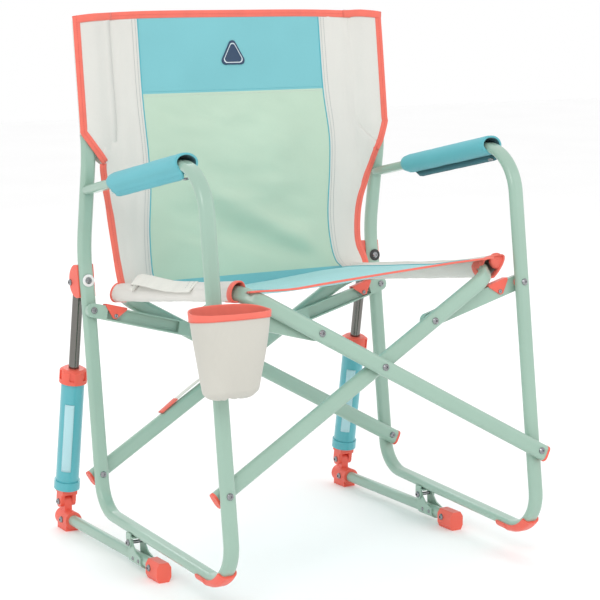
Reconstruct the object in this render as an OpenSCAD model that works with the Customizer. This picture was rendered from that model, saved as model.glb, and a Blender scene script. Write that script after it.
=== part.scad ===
// Folding camp rocking chair with a fabric sling seat, two scissor frames and two spring struts.
// +X is the sitter's left, the chair faces -Y and the floor is z = 0. Millimetres.
// Side frames, seat frames and fabric are laid out in a leaning frame (x, u, w): u runs back
// and down, w runs up and back. It leans back by seat_lean about the X axis.

/* [Stance] */
// Backward lean of the seat, the legs and the seat frames, in degrees
seat_lean = 8; // [7:0.5:9]
// Distance between the centre planes of the two side frames
frame_spacing = 578; // [570:2:590]
// Distance from one layer of overlapping tubes to the next
layer = 17; // [16.5:0.5:18]

/* [Tubes] */
// Width of the flat-oval tube of the side frames, across the chair
side_tube_w = 25; // [24:0.5:26]
// Width of the flat-oval tube of the seat frames
seat_tube_w = 26; // [25:0.5:27]
// Thickness of every flat-oval tube
tube_t = 15; // [14.5:0.5:15]
// Wall of the steel tubes
tube_wall = 1.1; // [0.9:0.1:1.4]
// Diameter of the round tube of a ground leg
ground_tube_d = 19; // [18:0.5:19.5]

/* [Scissor linkage] */
// Height of the lower pivots above the origin, along w
low_pivot_w = 150; // [146:1:154]
// Height of the crossing pivots, along w
cross_w = 315; // [310:1:320]
// Distance from a crossing pivot to the centre of the seat rail
rail_reach = 274; // [270:1:278]
// Distance from a crossing pivot to the pivot of a link
link_reach = 126.5; // [124:0.5:129]
// Height of the link pivots on the legs, along w
link_leg_w = 426; // [422:1:430]

/* [Struts] */
// Diameter of the polished rod
rod_d = 18; // [16:1:18]
// Outer diameter of the cylinder
cylinder_d = 40; // [39:1:42]
// Length from the lower pivot to the upper pivot
strut_len = 402; // [400:1:404]
// Number of turns of the coil spring
spring_turns = 9; // [7:1:10]

/* [Soft parts] */
// Width of the mouth of the cup holder
cup_mouth_w = 125; // [120:1:140]
// Height of the cup holder
cup_h = 132; // [120:1:150]
// Length of an armrest pad
armrest_pad_len = 250; // [230:5:260]
// Thickness of the sling fabric solids
fabric_t = 3; // [2:0.5:4]

/* [Hidden] */
$fn = 48;
eps = 0.01;
gap = 0.05;              // radial clearance of a running fit
seat_clear = 0.2;        // clearance of a moulded part on a tube
left = -1;
right = 1;
front = -1;
rear = 1;

half_spacing = frame_spacing / 2;
front_plane = -302;      // u of the front leg of the left frame and of seat frame A
rear_plane = 147;        // u of the rear leg of the left frame and of seat frame A
stagger = layer / cos(seat_lean);  // the right frame stands this much further back
bar_angle = atan((cross_w - low_pivot_w) / half_spacing);
bar_len = (cross_w - low_pivot_w) / sin(bar_angle);
link_end_x = link_reach * cos(bar_angle);
link_end_w = cross_w + link_reach * sin(bar_angle);
link_rise = link_leg_w - link_end_w;
link_run = half_spacing - link_end_x;
link_len = sqrt(link_rise * link_rise + link_run * link_run);
link_slope = atan(link_rise / link_run);
link_t = 10;
link_w = 24;
link_offset = tube_t / 2 + 2.5 + link_t / 2;  // from a leg's plane to a link's plane

bolt_r = 3;
bore_r = bolt_r + gap;
head_r = 5.5;
head_h = 3.4;
washer_r = 10;

// Centreline of a side frame: top of the post round to the end of the armrest.
armrest_corner = [-302, 655];
armrest_end = [112, 626.5];
side_path = [[100, 903], [102, 686], [154, 517], [147, 450], [147, 90], [-302, 7],
    armrest_corner, armrest_end];
side_radii = [0, 220, 220, 220, 56, 60, 80, 0];
armrest_slope = atan((armrest_corner[1] - armrest_end[1]) / (armrest_end[0] - armrest_corner[0]));
rail_slope = atan((side_path[4][1] - side_path[5][1]) / (side_path[4][0] - side_path[5][0]));

// Ground leg and strut, in world Y and Z of the left side.
rock_pivot = [35, 44];
ground_tube_z = 19.5;
ground_tube_ends = [-45, 312];
low_pin = [315, 49];
strut_lean = 10.02;
strut_top = [low_pin[0] - strut_len * sin(strut_lean), low_pin[1] + strut_len * cos(strut_lean)];
collar_base = 25;
collar_top = 40;
cylinder_top = 222;
gland_top = 247;
rod_shoulder = 378;
piston_base = 195;
piston_top = 207;
cylinder_wall = 3;

// The back is turned, because the right frame stands further back.
skew = atan(layer / frame_spacing);
rail_x = rail_reach * cos(bar_angle);
rail_w = cross_w + rail_reach * sin(bar_angle);
sleeve_w = 32;
sleeve_t = 21;
sleeve_inset = [26, 8];  // from the front and rear bars to the sleeve's ends

// The cup holder hangs in front of the left front leg.
cup_back_u = front_plane - tube_t / 2 - 0.6;
cup_depth = 85;
cup_offset = -3;         // from the leg towards the middle of the chair
cup_base_w = 290;
cup_taper = 0.7;        // size of the base against the mouth
cup_wall = 2.5;
band_h = 6;

// Centres the finished model's box over the origin.
outer_left = half_spacing - cup_offset + cup_mouth_w / 2;
outer_right = half_spacing + cylinder_d / 2 + 4;
front_reach = (cup_back_u - cup_depth) * cos(seat_lean) + (cup_base_w + cup_h) * sin(seat_lean);
rear_reach = stagger + low_pin[0] - collar_base * sin(strut_lean) + (cylinder_d + 5) / 2 * cos(strut_lean);
origin_shift = [(outer_left - outer_right) / 2, -(front_reach + rear_reach) / 2, 0];

sage = [0.67, 0.80, 0.73];
coral = [0.97, 0.45, 0.37];
sky = [0.49, 0.80, 0.84];
teal_blue = [0.33, 0.72, 0.76];
mint = [0.71, 0.85, 0.77];
off_white = [0.90, 0.90, 0.88];
steel = [0.75, 0.76, 0.78];

// ---------- frames of reference ----------

module place() {
    translate(origin_shift) children();
}

module lean() {
    rotate([-seat_lean, 0, 0]) children();
}

// Left or right side frame: children are drawn in (u, w) of the left frame, x = 0 at its plane.
module side_place(side) {
    place()
        translate([side * half_spacing, side == right ? stagger : 0, 0])
            children();
}

// Turns a shape drawn in XY, extruded along Z, so that X is u, Y is w and Z is across the chair.
module upright() {
    rotate([90, 0, 90]) children();
}

// A seat frame's plane: X runs up the bar from the crossing, Y is u and Z is across the bar.
module bar_place(side) {
    place() lean()
        translate([0, side == right ? layer : 0, cross_w])
            rotate([0, side == right ? -bar_angle : 180 + bar_angle, 0])
                children();
}

// Children drawn in (x, u, w) are turned about the upright line at that u, halfway between the frames.
module skewed(u) {
    place() lean() translate([0, u + layer / 2, 0]) rotate([0, 0, skew]) translate([0, -u, 0]) children();
}

// ---------- flat-oval tube along a path ----------

// The flats stand eps low, so that they cross the round edges cleanly.
module oval(w, t) {
    square([w - t, t - 2 * eps], center = true);
    for (s = [-1, 1]) translate([s * (w - t) / 2, 0]) circle(d = t);
}

function heading(a, b) = atan2(b[1] - a[1], b[0] - a[0]);
function turn(a, b, c) = let (d = heading(b, c) - heading(a, b)) d > 180 ? d - 360 : d < -180 ? d + 360 : d;
function unit(a) = [cos(a), sin(a)];
// Length of a straight stretch that a corner's bend takes up.
function setback(p, r, i) =
    i <= 0 || i >= len(p) - 1 ? 0 : r[i] * tan(abs(turn(p[i - 1], p[i], p[i + 1])) / 2);

module run_stretch(p, r, i) {
    a = heading(p[i], p[i + 1]);
    start = p[i] + setback(p, r, i) * unit(a);
    len = norm(p[i + 1] - p[i]) - setback(p, r, i) - setback(p, r, i + 1);
    translate([start[0], start[1], 0])
        rotate([0, 0, a]) rotate([0, 90, 0])
            linear_extrude(height = len) children();
}

module run_bend(p, r, i) {
    a = heading(p[i - 1], p[i]);
    d = turn(p[i - 1], p[i], p[i + 1]);
    s = d > 0 ? 1 : -1;
    centre = p[i] - setback(p, r, i) * unit(a) + r[i] * unit(a + s * 90);
    first = s > 0 ? a - 90 : a + d + 90;
    translate([centre[0], centre[1], 0])
        rotate([0, 0, first])
            rotate_extrude(angle = abs(d))
                translate([r[i], 0]) rotate(s * 90) children();
}

// Sweeps a 2D section along the path: its X is across the path's plane, its Y on the left.
module run(p, r) {
    union() {
        for (i = [0 : len(p) - 2]) run_stretch(p, r, i) children();
        for (i = [1 : len(p) - 2]) run_bend(p, r, i) children();
    }
}

// Moves both ends of a path along their own stretches: positive lengthens.
function moved_ends(p, first, last) = let (n = len(p) - 1) [for (i = [0 : n])
    i == 0 ? p[0] - first * unit(heading(p[0], p[1]))
    : i == n ? p[n] + last * unit(heading(p[n - 1], p[n])) : p[i]];

// Section of a hollow tube: sweeping it piece by piece keeps the bore open from end to end.
module tube_ring(w, t) {
    difference() {
        oval(w, t);
        oval(w - 2 * tube_wall, t - 2 * tube_wall);
    }
}

// ---------- fasteners ----------

// Domed head with a hexagonal socket, standing on z = 0.
module bolt_head() {
    difference() {
        union() {
            cylinder(r = head_r, h = 1.4);
            translate([0, 0, 1.4]) cylinder(r1 = head_r, r2 = 3.6, h = head_h - 1.4);
        }
        translate([0, 0, head_h - 1.8]) cylinder(r = 2.2, h = 3, $fn = 6);
    }
}

// Bolt along Y (u): head towards the front at y = 0, a domed nut at y = grip.
module bolt_u(grip) {
    rotate([-90, 0, 0]) cylinder(r = bolt_r, h = grip);
    rotate([90, 0, 0]) bolt_head();
    translate([0, grip, 0]) rotate([-90, 0, 0]) bolt_head();
}

// Bolt along X: heads on both sides.
module bolt_x(grip) {
    translate([-grip / 2, 0, 0]) rotate([0, 90, 0]) cylinder(r = bolt_r, h = grip);
    for (s = [-1, 1]) translate([s * grip / 2, 0, 0]) rotate([0, s * 90, 0]) bolt_head();
}

module bore_u(length = 60) {
    rotate([90, 0, 0]) cylinder(r = bore_r, h = length, center = true);
}

module bore_x(length = 60) {
    rotate([0, 90, 0]) cylinder(r = bore_r, h = length, center = true);
}

// ---------- side frames ----------

// Places of the holes through a leg, in the leaning frame with x = 0 at the side's plane.
module leg_holes(side) {
    drop = side == right ? stagger * sin(seat_lean) : 0;
    for (u = [front_plane, rear_plane], w = [low_pivot_w, link_leg_w])
        translate([0, u, w - drop]) children();
}

strut_bolt_w = 476;

cope = 12;               // length of the slightly crimped end that is welded to the post

module side_tube(side) {
    color(sage)
    side_place(side) lean() difference() {
        union() {
            upright() run(moved_ends(side_path, 0, -cope), side_radii) tube_ring(side_tube_w, tube_t);
            upright() run_stretch([armrest_end - (cope + 2) * unit(-armrest_slope), armrest_end], [0, 0], 0)
                oval(side_tube_w - 1, tube_t - 1);
        }
        leg_holes(side) bore_u();
        translate([0, rear_plane + 2, strut_bolt_w]) bore_u();
    }
}

armrest_start = 56;      // from the armrest corner back to the pad's front end
pad_outer_w = 42;
pad_outer_t = 31;
pad_drop = 2;
pad_flap = 8;            // height of the stitched flap, half of it below the wrap

module armrest_place(side) {
    side_place(side) lean()
        translate([0, armrest_corner[0], armrest_corner[1]])
            rotate([-armrest_slope, 0, 0]) children();
}

// Foam-filled wrap round the armrest tube, open at both ends, with a stitched flap below.
module armrest_pad(side) {
    color(sky)
    difference() {
        armrest_place(side) difference() {
            translate([0, armrest_start, -pad_drop]) rotate([-90, 0, 0])
                linear_extrude(height = armrest_pad_len) union() {
                    oval(pad_outer_w, pad_outer_t);
                    translate([4, pad_outer_t / 2]) square([20, pad_flap], center = true);
                }
            translate([0, armrest_start - 1, -1]) rotate([-90, 0, 0])
                linear_extrude(height = armrest_pad_len + 2) oval(side_tube_w + 4, tube_t + 4);
        }
        side_place(side) lean() upright() run(side_path, side_radii)
            oval(side_tube_w + 3, tube_t + 3);
    }
}

pad_start = 26;          // straight length of the foot pad along the bottom rail
pad_turn = 52;           // degrees of the bend that the foot pad follows

// Curved trough under the front bend, open at its front end.
module front_pad(side) {
    corner = side_path[5];
    back = setback(side_path, side_radii, 5);
    centre = corner + back * unit(rail_slope) + side_radii[5] * unit(rail_slope + 90);
    trough = [corner + [0, back + 1], corner, corner + (back + pad_start) * unit(rail_slope)];
    joint = corner + back * unit(rail_slope);
    color(coral)
    side_place(side) lean() upright() difference() {
        union() {
            run(trough, [0, side_radii[5], 0]) pad_section(0, 0);
            translate([joint[0], joint[1], 0]) rotate([0, 0, rail_slope]) rotate([0, 90, 0])
                linear_extrude(height = 4, center = true) pad_section(1.2, 2);
        }
        translate([centre[0], centre[1], -50]) rotate([0, 0, rail_slope - 90 - pad_turn])
            translate([0, -200, 0]) cube([300, 200, 100]);
        translate([corner[0] - 50, corner[1] + 40, -50]) cube(100);
    }
}

// U section of the trough, made proud outside and thinned inside for the rib at mid length.
module pad_section(proud, thin) {
    difference() {
        oval(side_tube_w + 7 + proud, tube_t + 9 + proud);
        oval(side_tube_w + 2 * seat_clear + thin, tube_t + 2 * seat_clear + thin);
        translate([0, (tube_t + 6 - thin) / 2]) square([60, tube_t + 6], center = true);
    }
}

ear_t = 2.5;
upper_ear_x = ground_tube_d / 2 + 2 * ear_t + 0.5;
ear_r = 8;
rail_under = 55;         // world height of the rail's underside over the rock pivot

// Inverted U bracket under the bottom rail: two ears down to the rock pivot.
module rail_bracket(side) {
    color(sage)
    side_place(side) difference() {
        union() {
            for (s = [-1, 1]) translate([s * (upper_ear_x - ear_t / 2), 0, 0]) {
                translate([0, rock_pivot[0], rock_pivot[1]]) rotate([0, 90, 0])
                    cylinder(r = ear_r, h = ear_t, center = true);
                translate([0, rock_pivot[0], rock_pivot[1] + 8])
                    cube([ear_t, 2 * ear_r, 16], center = true);
            }
            translate([0, rock_pivot[0] - 4, rail_under - 0.6])
                cube([2 * upper_ear_x, 2 * ear_r + 8, 2], center = true);
        }
        translate([0, rock_pivot[0], rock_pivot[1]]) bore_x();
        lean() upright() run(side_path, side_radii) oval(side_tube_w + 0.2, tube_t + 0.2);
    }
}

mount_r = 28;
mount_w = 30;
eye_slot = 13;
mount_centre_u = 158;

module strut_mount(side) {
    color(coral)
    side_place(side) difference() {
        lean() translate([0, mount_centre_u, strut_bolt_w]) intersection() {
            rotate([0, 90, 0]) cylinder(r = mount_r, h = mount_w, center = true);
            translate([0, mount_r - 8, 0]) cube([2 * mount_w, 2 * mount_r, 3 * mount_r], center = true);
        }
        lean() upright() run(side_path, side_radii)
            oval(side_tube_w + 3 * seat_clear, tube_t + 3 * seat_clear);
        lean() translate([0, rear_plane + 2, strut_bolt_w]) bore_u(52);
        strut_place() translate([-eye_slot / 2, -11, strut_len - 80])
            cube([eye_slot, 40, 92]);
        translate([0, strut_top[0], strut_top[1]]) bore_x();
    }
}

// Bolts, washers and screws of a side frame.
module frame_fasteners(side) {
    link_grip = tube_t + 2.5 + link_t + 0.6;
    color(steel) {
        side_place(side) {
            for (u = [front_plane, rear_plane]) lean() leg_hole_at(side, u, low_pivot_w) leg_bolt(side);
            lean() leg_hole_at(side, front_plane, link_leg_w)
                translate([0, -tube_t / 2, 0]) bolt_u(link_grip);
            lean() leg_hole_at(side, rear_plane, link_leg_w)
                translate([0, tube_t / 2 - link_grip, 0]) bolt_u(link_grip);
            lean() translate([0, rear_plane + 2 - tube_t / 2 - 1.6, strut_bolt_w]) {
                rotate([-90, 0, 0]) cylinder(r = bolt_r, h = 24);
                rotate([-90, 0, 0]) cylinder(r = washer_r, h = 1.2);
                rotate([90, 0, 0]) bolt_head();
            }
            translate([0, strut_top[0], strut_top[1]]) bolt_x(mount_w);
            translate([0, rock_pivot[0], rock_pivot[1]]) bolt_x(2 * upper_ear_x);
        }
        armrest_place(side)
            translate([4, armrest_start + 14, -pad_drop - pad_outer_t / 2 - pad_flap / 2 - gap])
                mirror([0, 0, 1]) bolt_head();
    }
}

module leg_hole_at(side, u, w) {
    translate([0, u, w - (side == right ? stagger * sin(seat_lean) : 0)]) children();
}

// On the left a seat frame lies behind the leg, on the right in front of it.
module leg_bolt(side) {
    translate([0, -tube_t / 2 - (side == right ? layer : 0) - gap, 0]) bolt_u(layer + tube_t + 2 * gap);
}

// ---------- seat frames ----------

tail = 11;               // how far a bar runs past its lower pivot
seat_bend = 45;
bar_path = [[-bar_len - tail, front_plane], [rail_reach, front_plane],
    [rail_reach, rear_plane], [-bar_len - tail, rear_plane]];
bar_radii = [0, seat_bend, seat_bend, 0];

module seat_frame_tube(side) {
    color(sage)
    bar_place(side) difference() {
        run(bar_path, bar_radii) tube_ring(seat_tube_w, tube_t);
        for (u = [front_plane, rear_plane], s = [-bar_len, 0, link_reach])
            translate([s, u, 0]) bore_u();
    }
}

module seat_frame_end_caps(side) {
    color(coral)
    bar_place(side)
        for (u = [front_plane, rear_plane]) translate([-bar_len - tail, u, 0]) rotate([0, -90, 0]) {
            linear_extrude(height = 4) oval(seat_tube_w + 0.8, tube_t + 0.8);
            translate([0, 0, -4]) linear_extrude(height = 4 + eps)
                oval(seat_tube_w - 2 * tube_wall - 0.1, tube_t - 2 * tube_wall - 0.1);
        }
}

// Stub bolts that hold the open ends of the links stay inside the tube's own layer.
module link_stub(way) {
    rotate([way * -90, 0, 0]) translate([0, 0, -tube_t / 2]) {
        cylinder(r = bolt_r, h = tube_t);
        mirror([0, 0, 1]) bolt_head();
    }
}

module seat_frame_a_fasteners() {
    color(steel) bar_place(left) {
        translate([link_reach, front_plane, 0]) link_stub(1);
        translate([link_reach, rear_plane, 0]) link_stub(-1);
    }
}

module seat_frame_b_fasteners() {
    color(steel) bar_place(right) {
        translate([link_reach, front_plane, 0]) link_stub(1);
        translate([link_reach, rear_plane, 0]) link_stub(-1);
        for (u = [front_plane, rear_plane])
            translate([0, u - layer - tube_t / 2 - gap, 0]) bolt_u(layer + tube_t + 2 * gap);
    }
}

// ---------- links ----------

// A link's frame: X from the leg pivot towards the bar, Y is u, Z across the link.
module link_place(side, row) {
    plane = (row == front ? front_plane : rear_plane) + (side == right ? layer : 0) - row * link_offset;
    place() lean()
        translate([side * half_spacing, plane, link_leg_w])
            rotate([0, side == right ? 180 - link_slope : link_slope, 0])
                mirror([0, 0, side == right ? 1 : 0])
                    children();
}

module link_outline(w) {
    translate([link_len / 2, 0]) square([link_len, w - 2 * eps], center = true);
    for (x = [0, link_len]) translate([x, 0]) circle(d = w);
}

// Pressed channel with solid ends, open on the side away from the leg.
module link_bar(side, row) {
    color(sage)
    link_place(side, row) difference() {
        rotate([90, 0, 0]) linear_extrude(height = link_t, center = true) link_outline(link_w);
        translate([link_len / 2, -row * 3, 0]) cube([link_len - 50, link_t, link_w - 5], center = true);
        for (x = [0, link_len]) translate([x, 0, 0]) bore_u();
    }
}

wedge_at = 39;           // from the leg pivot to the middle of the wedge
wedge_w = 39;
wedge_t = link_t + 4;
wedge_cap = 3;           // above the link's upper edge
wedge_drop = 7;          // the tip reaches this far below the link's middle
wedge_tip = 6;

// Moulded saddle on the link's upper edge, where the seat rail comes to rest.
module wedge(side, row) {
    color(coral)
    link_place(side, row) difference() {
        translate([wedge_at, 0, 0]) rotate([90, 0, 0]) linear_extrude(height = wedge_t, center = true)
            polygon([[-wedge_w / 2, link_w / 2 + wedge_cap], [wedge_w / 2, link_w / 2 + wedge_cap],
                [wedge_w / 2, link_w / 2 - 1], [wedge_tip / 2, -wedge_drop],
                [-wedge_tip / 2, -wedge_drop], [-wedge_w / 2, link_w / 2 - 1]]);
        rotate([90, 0, 0]) linear_extrude(height = link_t + seat_clear, center = true)
            link_outline(link_w + seat_clear);
    }
}

module spacer() {
    color(coral) place() lean()
        translate([half_spacing, front_plane + layer + tube_t / 2 + 0.1, link_leg_w]) rotate([-90, 0, 0])
            difference() {
                cylinder(r = 9, h = 2.3);
                translate([0, 0, -1]) cylinder(r = bore_r, h = 5);
            }
}

// ---------- ground legs ----------

module ground_tube(side) {
    color(sage)
    side_place(side) difference() {
        translate([0, ground_tube_ends[0], ground_tube_z]) rotate([-90, 0, 0]) difference() {
            cylinder(d = ground_tube_d, h = ground_tube_ends[1] - ground_tube_ends[0]);
            translate([0, 0, -1])
                cylinder(d = ground_tube_d - 2 * tube_wall,
                    h = ground_tube_ends[1] - ground_tube_ends[0] + 2);
        }
        for (y = foot_screw_y) translate([0, y, ground_tube_z]) bore_x();
    }
}

foot_screw_y = [-36, 302];

// Front foot: a moulded cap with a flat faceted nose and a ribbed sole.
module foot_cap(side) {
    color(coral)
    side_place(side) difference() {
        translate([0, -64, 0]) rotate([-90, 0, 0]) linear_extrude(height = 40)
            polygon([[-9, 0], [9, 0], [13, -8], [13, -24], [8, -32], [-8, -32], [-13, -24], [-13, -8]]);
        translate([0, -46, ground_tube_z]) rotate([-90, 0, 0])
            cylinder(d = ground_tube_d + 2 * gap, h = 60);
        translate([0, -36, ground_tube_z]) bore_x();
        for (y = [-56 : 8 : -30]) translate([0, y, 0]) cube([40, 3, 3], center = true);
    }
}

knuckle_r = 15;

// Rear foot: grips the end of the tube and carries the tongue of the lower strut pivot.
module knuckle(side) {
    color(coral)
    side_place(side) difference() {
        union() {
            translate([0, 284, ground_tube_z]) rotate([-90, 0, 0]) cylinder(r = knuckle_r, h = 46);
            translate([-12, 290, 0]) cube([24, 36, ground_tube_z]);
            translate([-7, 306, ground_tube_z]) cube([14, 18, low_pin[1] - ground_tube_z]);
            translate([0, low_pin[0], low_pin[1]]) rotate([0, 90, 0]) cylinder(r = 9, h = 14, center = true);
        }
        translate([0, 270, ground_tube_z]) rotate([-90, 0, 0])
            cylinder(d = ground_tube_d + 2 * gap, h = 43);
        translate([0, 302, ground_tube_z]) bore_x();
        translate([0, low_pin[0], low_pin[1]]) bore_x();
        for (y = [297 : 8 : 322]) translate([0, y, 0]) cube([40, 3, 3], center = true);
    }
}

// U bracket round the ground tube, with ears up to the rock pivot.
module saddle(side) {
    r = ground_tube_d / 2 + gap;
    color(sage)
    side_place(side) difference() {
        union() {
            translate([0, rock_pivot[0] - 38, ground_tube_z]) rotate([-90, 0, 0])
                cylinder(r = r + ear_t, h = 44);
            for (s = [-1, 1]) translate([s * (r + ear_t / 2), 0, 0]) rotate([90, 0, 90])
                linear_extrude(height = ear_t, center = true) {
                    translate(rock_pivot) circle(r = ear_r);
                    polygon([[rock_pivot[0] + 7.6, rock_pivot[1]], [rock_pivot[0] + 6, ground_tube_z],
                        [rock_pivot[0] - 38, ground_tube_z], [rock_pivot[0] - 38, ground_tube_z + 6],
                        [rock_pivot[0] - 20, ground_tube_z + 12], [rock_pivot[0] - 7.6, rock_pivot[1]]]);
                }
        }
        translate([0, 0, ground_tube_z]) rotate([-90, 0, 0]) cylinder(r = r, h = 200, center = true);
        translate([0, rock_pivot[0] - 16, ground_tube_z + 30]) cube([2 * r, 80, 60], center = true);
        translate([0, rock_pivot[0], rock_pivot[1]]) bore_x();
    }
}

module ground_fasteners(side) {
    color(steel) side_place(side) {
        translate([0, -36, ground_tube_z]) bolt_x(26);
        translate([0, 302, ground_tube_z]) bolt_x(2 * knuckle_r);
        for (y = [rock_pivot[0] - 30, rock_pivot[0] - 10], s = [-1, 1])
            translate([s * (ground_tube_d / 2 + gap + ear_t), y, ground_tube_z]) rotate([0, s * 90, 0])
                cylinder(r1 = 3.5, r2 = 2.4, h = 1.2);
        translate([0, low_pin[0], low_pin[1]]) bolt_x(28);
    }
}

// ---------- struts ----------

// A strut's frame: z runs from the lower pivot to the upper pivot.
module strut_place() {
    translate([0, low_pin[0], low_pin[1]]) rotate([strut_lean, 0, 0]) children();
}

module strut_cylinder(side) {
    color(teal_blue)
    side_place(side) strut_place() difference() {
        union() {
            translate([0, 0, collar_base]) cylinder(d = cylinder_d, h = cylinder_top - collar_base);
            translate([0, 0, collar_base]) cylinder(d = cylinder_d + 5, h = collar_top - collar_base);
        }
        translate([0, 0, collar_base - 1])
            cylinder(d = cylinder_d - 2 * cylinder_wall, h = cylinder_top - collar_base + 2);
    }
}

module strut_gland(side) {
    color(coral)
    side_place(side) strut_place() difference() {
        union() {
            translate([0, 0, cylinder_top]) cylinder(d = cylinder_d + 8, h = gland_top - cylinder_top - 4);
            translate([0, 0, gland_top - 4])
                cylinder(r1 = cylinder_d / 2 + 4, r2 = cylinder_d / 2 - 2, h = 4);
            translate([0, 0, cylinder_top - 8]) cylinder(d = cylinder_d - 2 * cylinder_wall - 0.1, h = 9);
        }
        cylinder(r = rod_d / 2 + gap, h = strut_len);
        for (a = [0 : 60 : 300]) rotate([0, 0, a]) translate([cylinder_d / 2 + 5.5, 0, cylinder_top + 15])
            cube([8, 8, 16], center = true);
    }
}

module strut_clevis(side) {
    color(coral)
    side_place(side) strut_place() difference() {
        union() {
            for (s = [-1, 1]) translate([s * 10.75, 0, 0]) {
                rotate([0, 90, 0]) cylinder(r = 10, h = 6.5, center = true);
                translate([0, 0, 8]) cube([6.5, 20, 16], center = true);
            }
            translate([-14, -14, 15]) cube([28, 28, 10]);
            translate([0, 0, 24]) cylinder(d = cylinder_d - 2 * cylinder_wall - 0.1, h = 14);
        }
        bore_x();
    }
}

spring_r = 13;
wire_r = 1.6;
spring_sides = 6;
spring_steps = 18;
spring_base = collar_top + 0.5;

function spring_ring(i) = let (n = spring_turns * spring_steps, a = 360 * i / spring_steps,
    z = spring_base + wire_r + (piston_base - spring_base - 2 * wire_r - 0.5) * i / n)
    [for (k = [0 : spring_sides - 1]) let (b = 360 * k / spring_sides)
        [(spring_r + wire_r * cos(b)) * cos(a), (spring_r + wire_r * cos(b)) * sin(a), z + wire_r * sin(b)]];

module strut_spring(side) {
    n = spring_turns * spring_steps;
    m = spring_sides;
    color(steel)
    side_place(side) strut_place() polyhedron(
        points = [for (i = [0 : n]) each spring_ring(i)],
        faces = concat(
            [[for (k = [0 : m - 1]) k]], [[for (k = [m - 1 : -1 : 0]) n * m + k]],
            [for (i = [0 : n - 1], k = [0 : m - 1])
                [i * m + k, i * m + m + k, i * m + m + (k + 1) % m, i * m + (k + 1) % m]]));
}

module strut_rod(side) {
    color(steel)
    side_place(side) strut_place() difference() {
        union() {
            translate([0, 0, piston_top]) cylinder(d = rod_d, h = rod_shoulder - piston_top);
            translate([0, 0, piston_base - 2]) cylinder(r = 5, h = 20);
            translate([-6, -7, rod_shoulder - 2]) cube([12, 14, strut_len - rod_shoulder]);
            translate([0, 0, strut_len]) rotate([0, 90, 0]) cylinder(r = 9, h = 12, center = true);
        }
        translate([0, 0, strut_len]) rotate([0, 90, 0]) cylinder(r = bolt_r + 2.6, h = 40, center = true);
    }
}

module strut_piston(side) {
    color(steel)
    side_place(side) strut_place() difference() {
        translate([0, 0, piston_base])
            cylinder(d = cylinder_d - 2 * cylinder_wall - 0.1, h = piston_top - piston_base);
        translate([0, 0, piston_base - 1]) cylinder(r = 5 + gap, h = 30);
    }
}

// ---------- soft parts ----------

module back_sleeve(side) {
    color(off_white)
    side_place(side) lean() translate([0, 101, 706]) difference() {
        linear_extrude(height = 205) oval(34, 24);
        translate([0, 0, -1]) linear_extrude(height = 203) oval(29.5, 19.5);
    }
}

back_top_w = 912;
back_path = [[101, back_top_w], [101, 700], [122, 560], [128, 472]];

module back_panel() {
    edge = half_spacing - 18;
    color(mint)
    skewed(back_path[0][0]) intersection() {
        upright() run(back_path, [0, 150, 150, 0]) square([2 * edge, fabric_t], center = true);
        translate([0, 400, 0]) rotate([90, 0, 0]) linear_extrude(height = 800)
            polygon([[-edge, 950], [edge, 950], [edge, 720], [215, 474], [-215, 474], [-edge, 720]]);
    }
}

patch_w = 56;
patch_h = 52;
patch_base_w = 820;

module headrest_patch() {
    color("midnightblue")
    skewed(back_path[0][0]) translate([0, back_path[0][0] - fabric_t / 2 - gap, patch_base_w])
        rotate([90, 0, 0]) linear_extrude(height = 1.5)
            polygon([[-patch_w / 2 + 3, 0], [patch_w / 2 - 3, 0], [patch_w / 2, 5],
                [4, patch_h - 2], [-4, patch_h - 2], [-patch_w / 2, 5]]);
}

module seat_sleeve(side) {
    color(off_white)
    bar_place(side) difference() {
        translate([rail_reach + 1, front_plane + sleeve_inset[0], 1]) rotate([-90, 0, 0])
            linear_extrude(height = rear_plane - front_plane - sleeve_inset[0] - sleeve_inset[1])
                rotate(90) difference() {
                    oval(sleeve_w, sleeve_t);
                    oval(sleeve_w - 5, sleeve_t - 5);
                }
        run(bar_path, bar_radii) oval(seat_tube_w + 2, tube_t + 2);
    }
}

module seat_panel() {
    edge = rail_x - 27;
    color(sky)
    place() lean() translate([0, 0, rail_w + 3]) linear_extrude(height = fabric_t)
        polygon([for (c = [[-edge, front_plane], [edge, front_plane],
            [edge, rear_plane], [-edge, rear_plane]]) [c[0], c[1] + layer / 2 + c[0] * tan(skew)]]);
}

loop_len = 190;
loop_t = 11;
loop_mid_u = -52;

// Webbing loop on the outside of the left seat sleeve.
module pull_loop() {
    color(off_white)
    bar_place(left) translate([rail_reach + 1 + (sleeve_t + loop_t) / 2 + seat_clear, loop_mid_u, 0])
        linear_extrude(height = 24, center = true) rotate(90) difference() {
            oval(loop_len, loop_t);
            oval(loop_len - 3, loop_t - 3);
        }
}

strap_start = -178;      // along the bar from the crossing
strap_len = 150;
strap_w = 14;

// Webbing strap along the upper edge of the rear bar of seat frame B.
module carry_strap() {
    color(off_white)
    bar_place(right) translate([strap_start, rear_plane - strap_w / 2, seat_tube_w / 2 + seat_clear])
        cube([strap_len, strap_w, 2.4]);
}

// Outline of the cup, scaled by k, with its flat back on y = 0.
module cup_outline(k, inset) {
    translate([0, -(cup_depth * k) / 2]) hull() for (s = [-1, 1])
        translate([s * k * (cup_mouth_w - cup_depth) / 2, 0])
            circle(d = cup_depth * k - 2 * inset, $fn = 32);
}

module cup_solid(inset, base) {
    translate([0, 0, base]) hull() {
        linear_extrude(height = 0.1) cup_outline(cup_taper, inset);
        translate([0, 0, cup_h - base]) linear_extrude(height = 0.1) cup_outline(1, inset);
    }
}

module cup_place() {
    place() lean() translate([cup_offset - half_spacing, cup_back_u, cup_base_w]) children();
}

// Room for the head of the link bolt on the leg behind the cup.
module bolt_relief() {
    translate([-cup_offset, -head_h - 0.5, link_leg_w - cup_base_w]) rotate([-90, 0, 0])
        cylinder(r = head_r + 0.7, h = head_h + 1);
}

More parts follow.
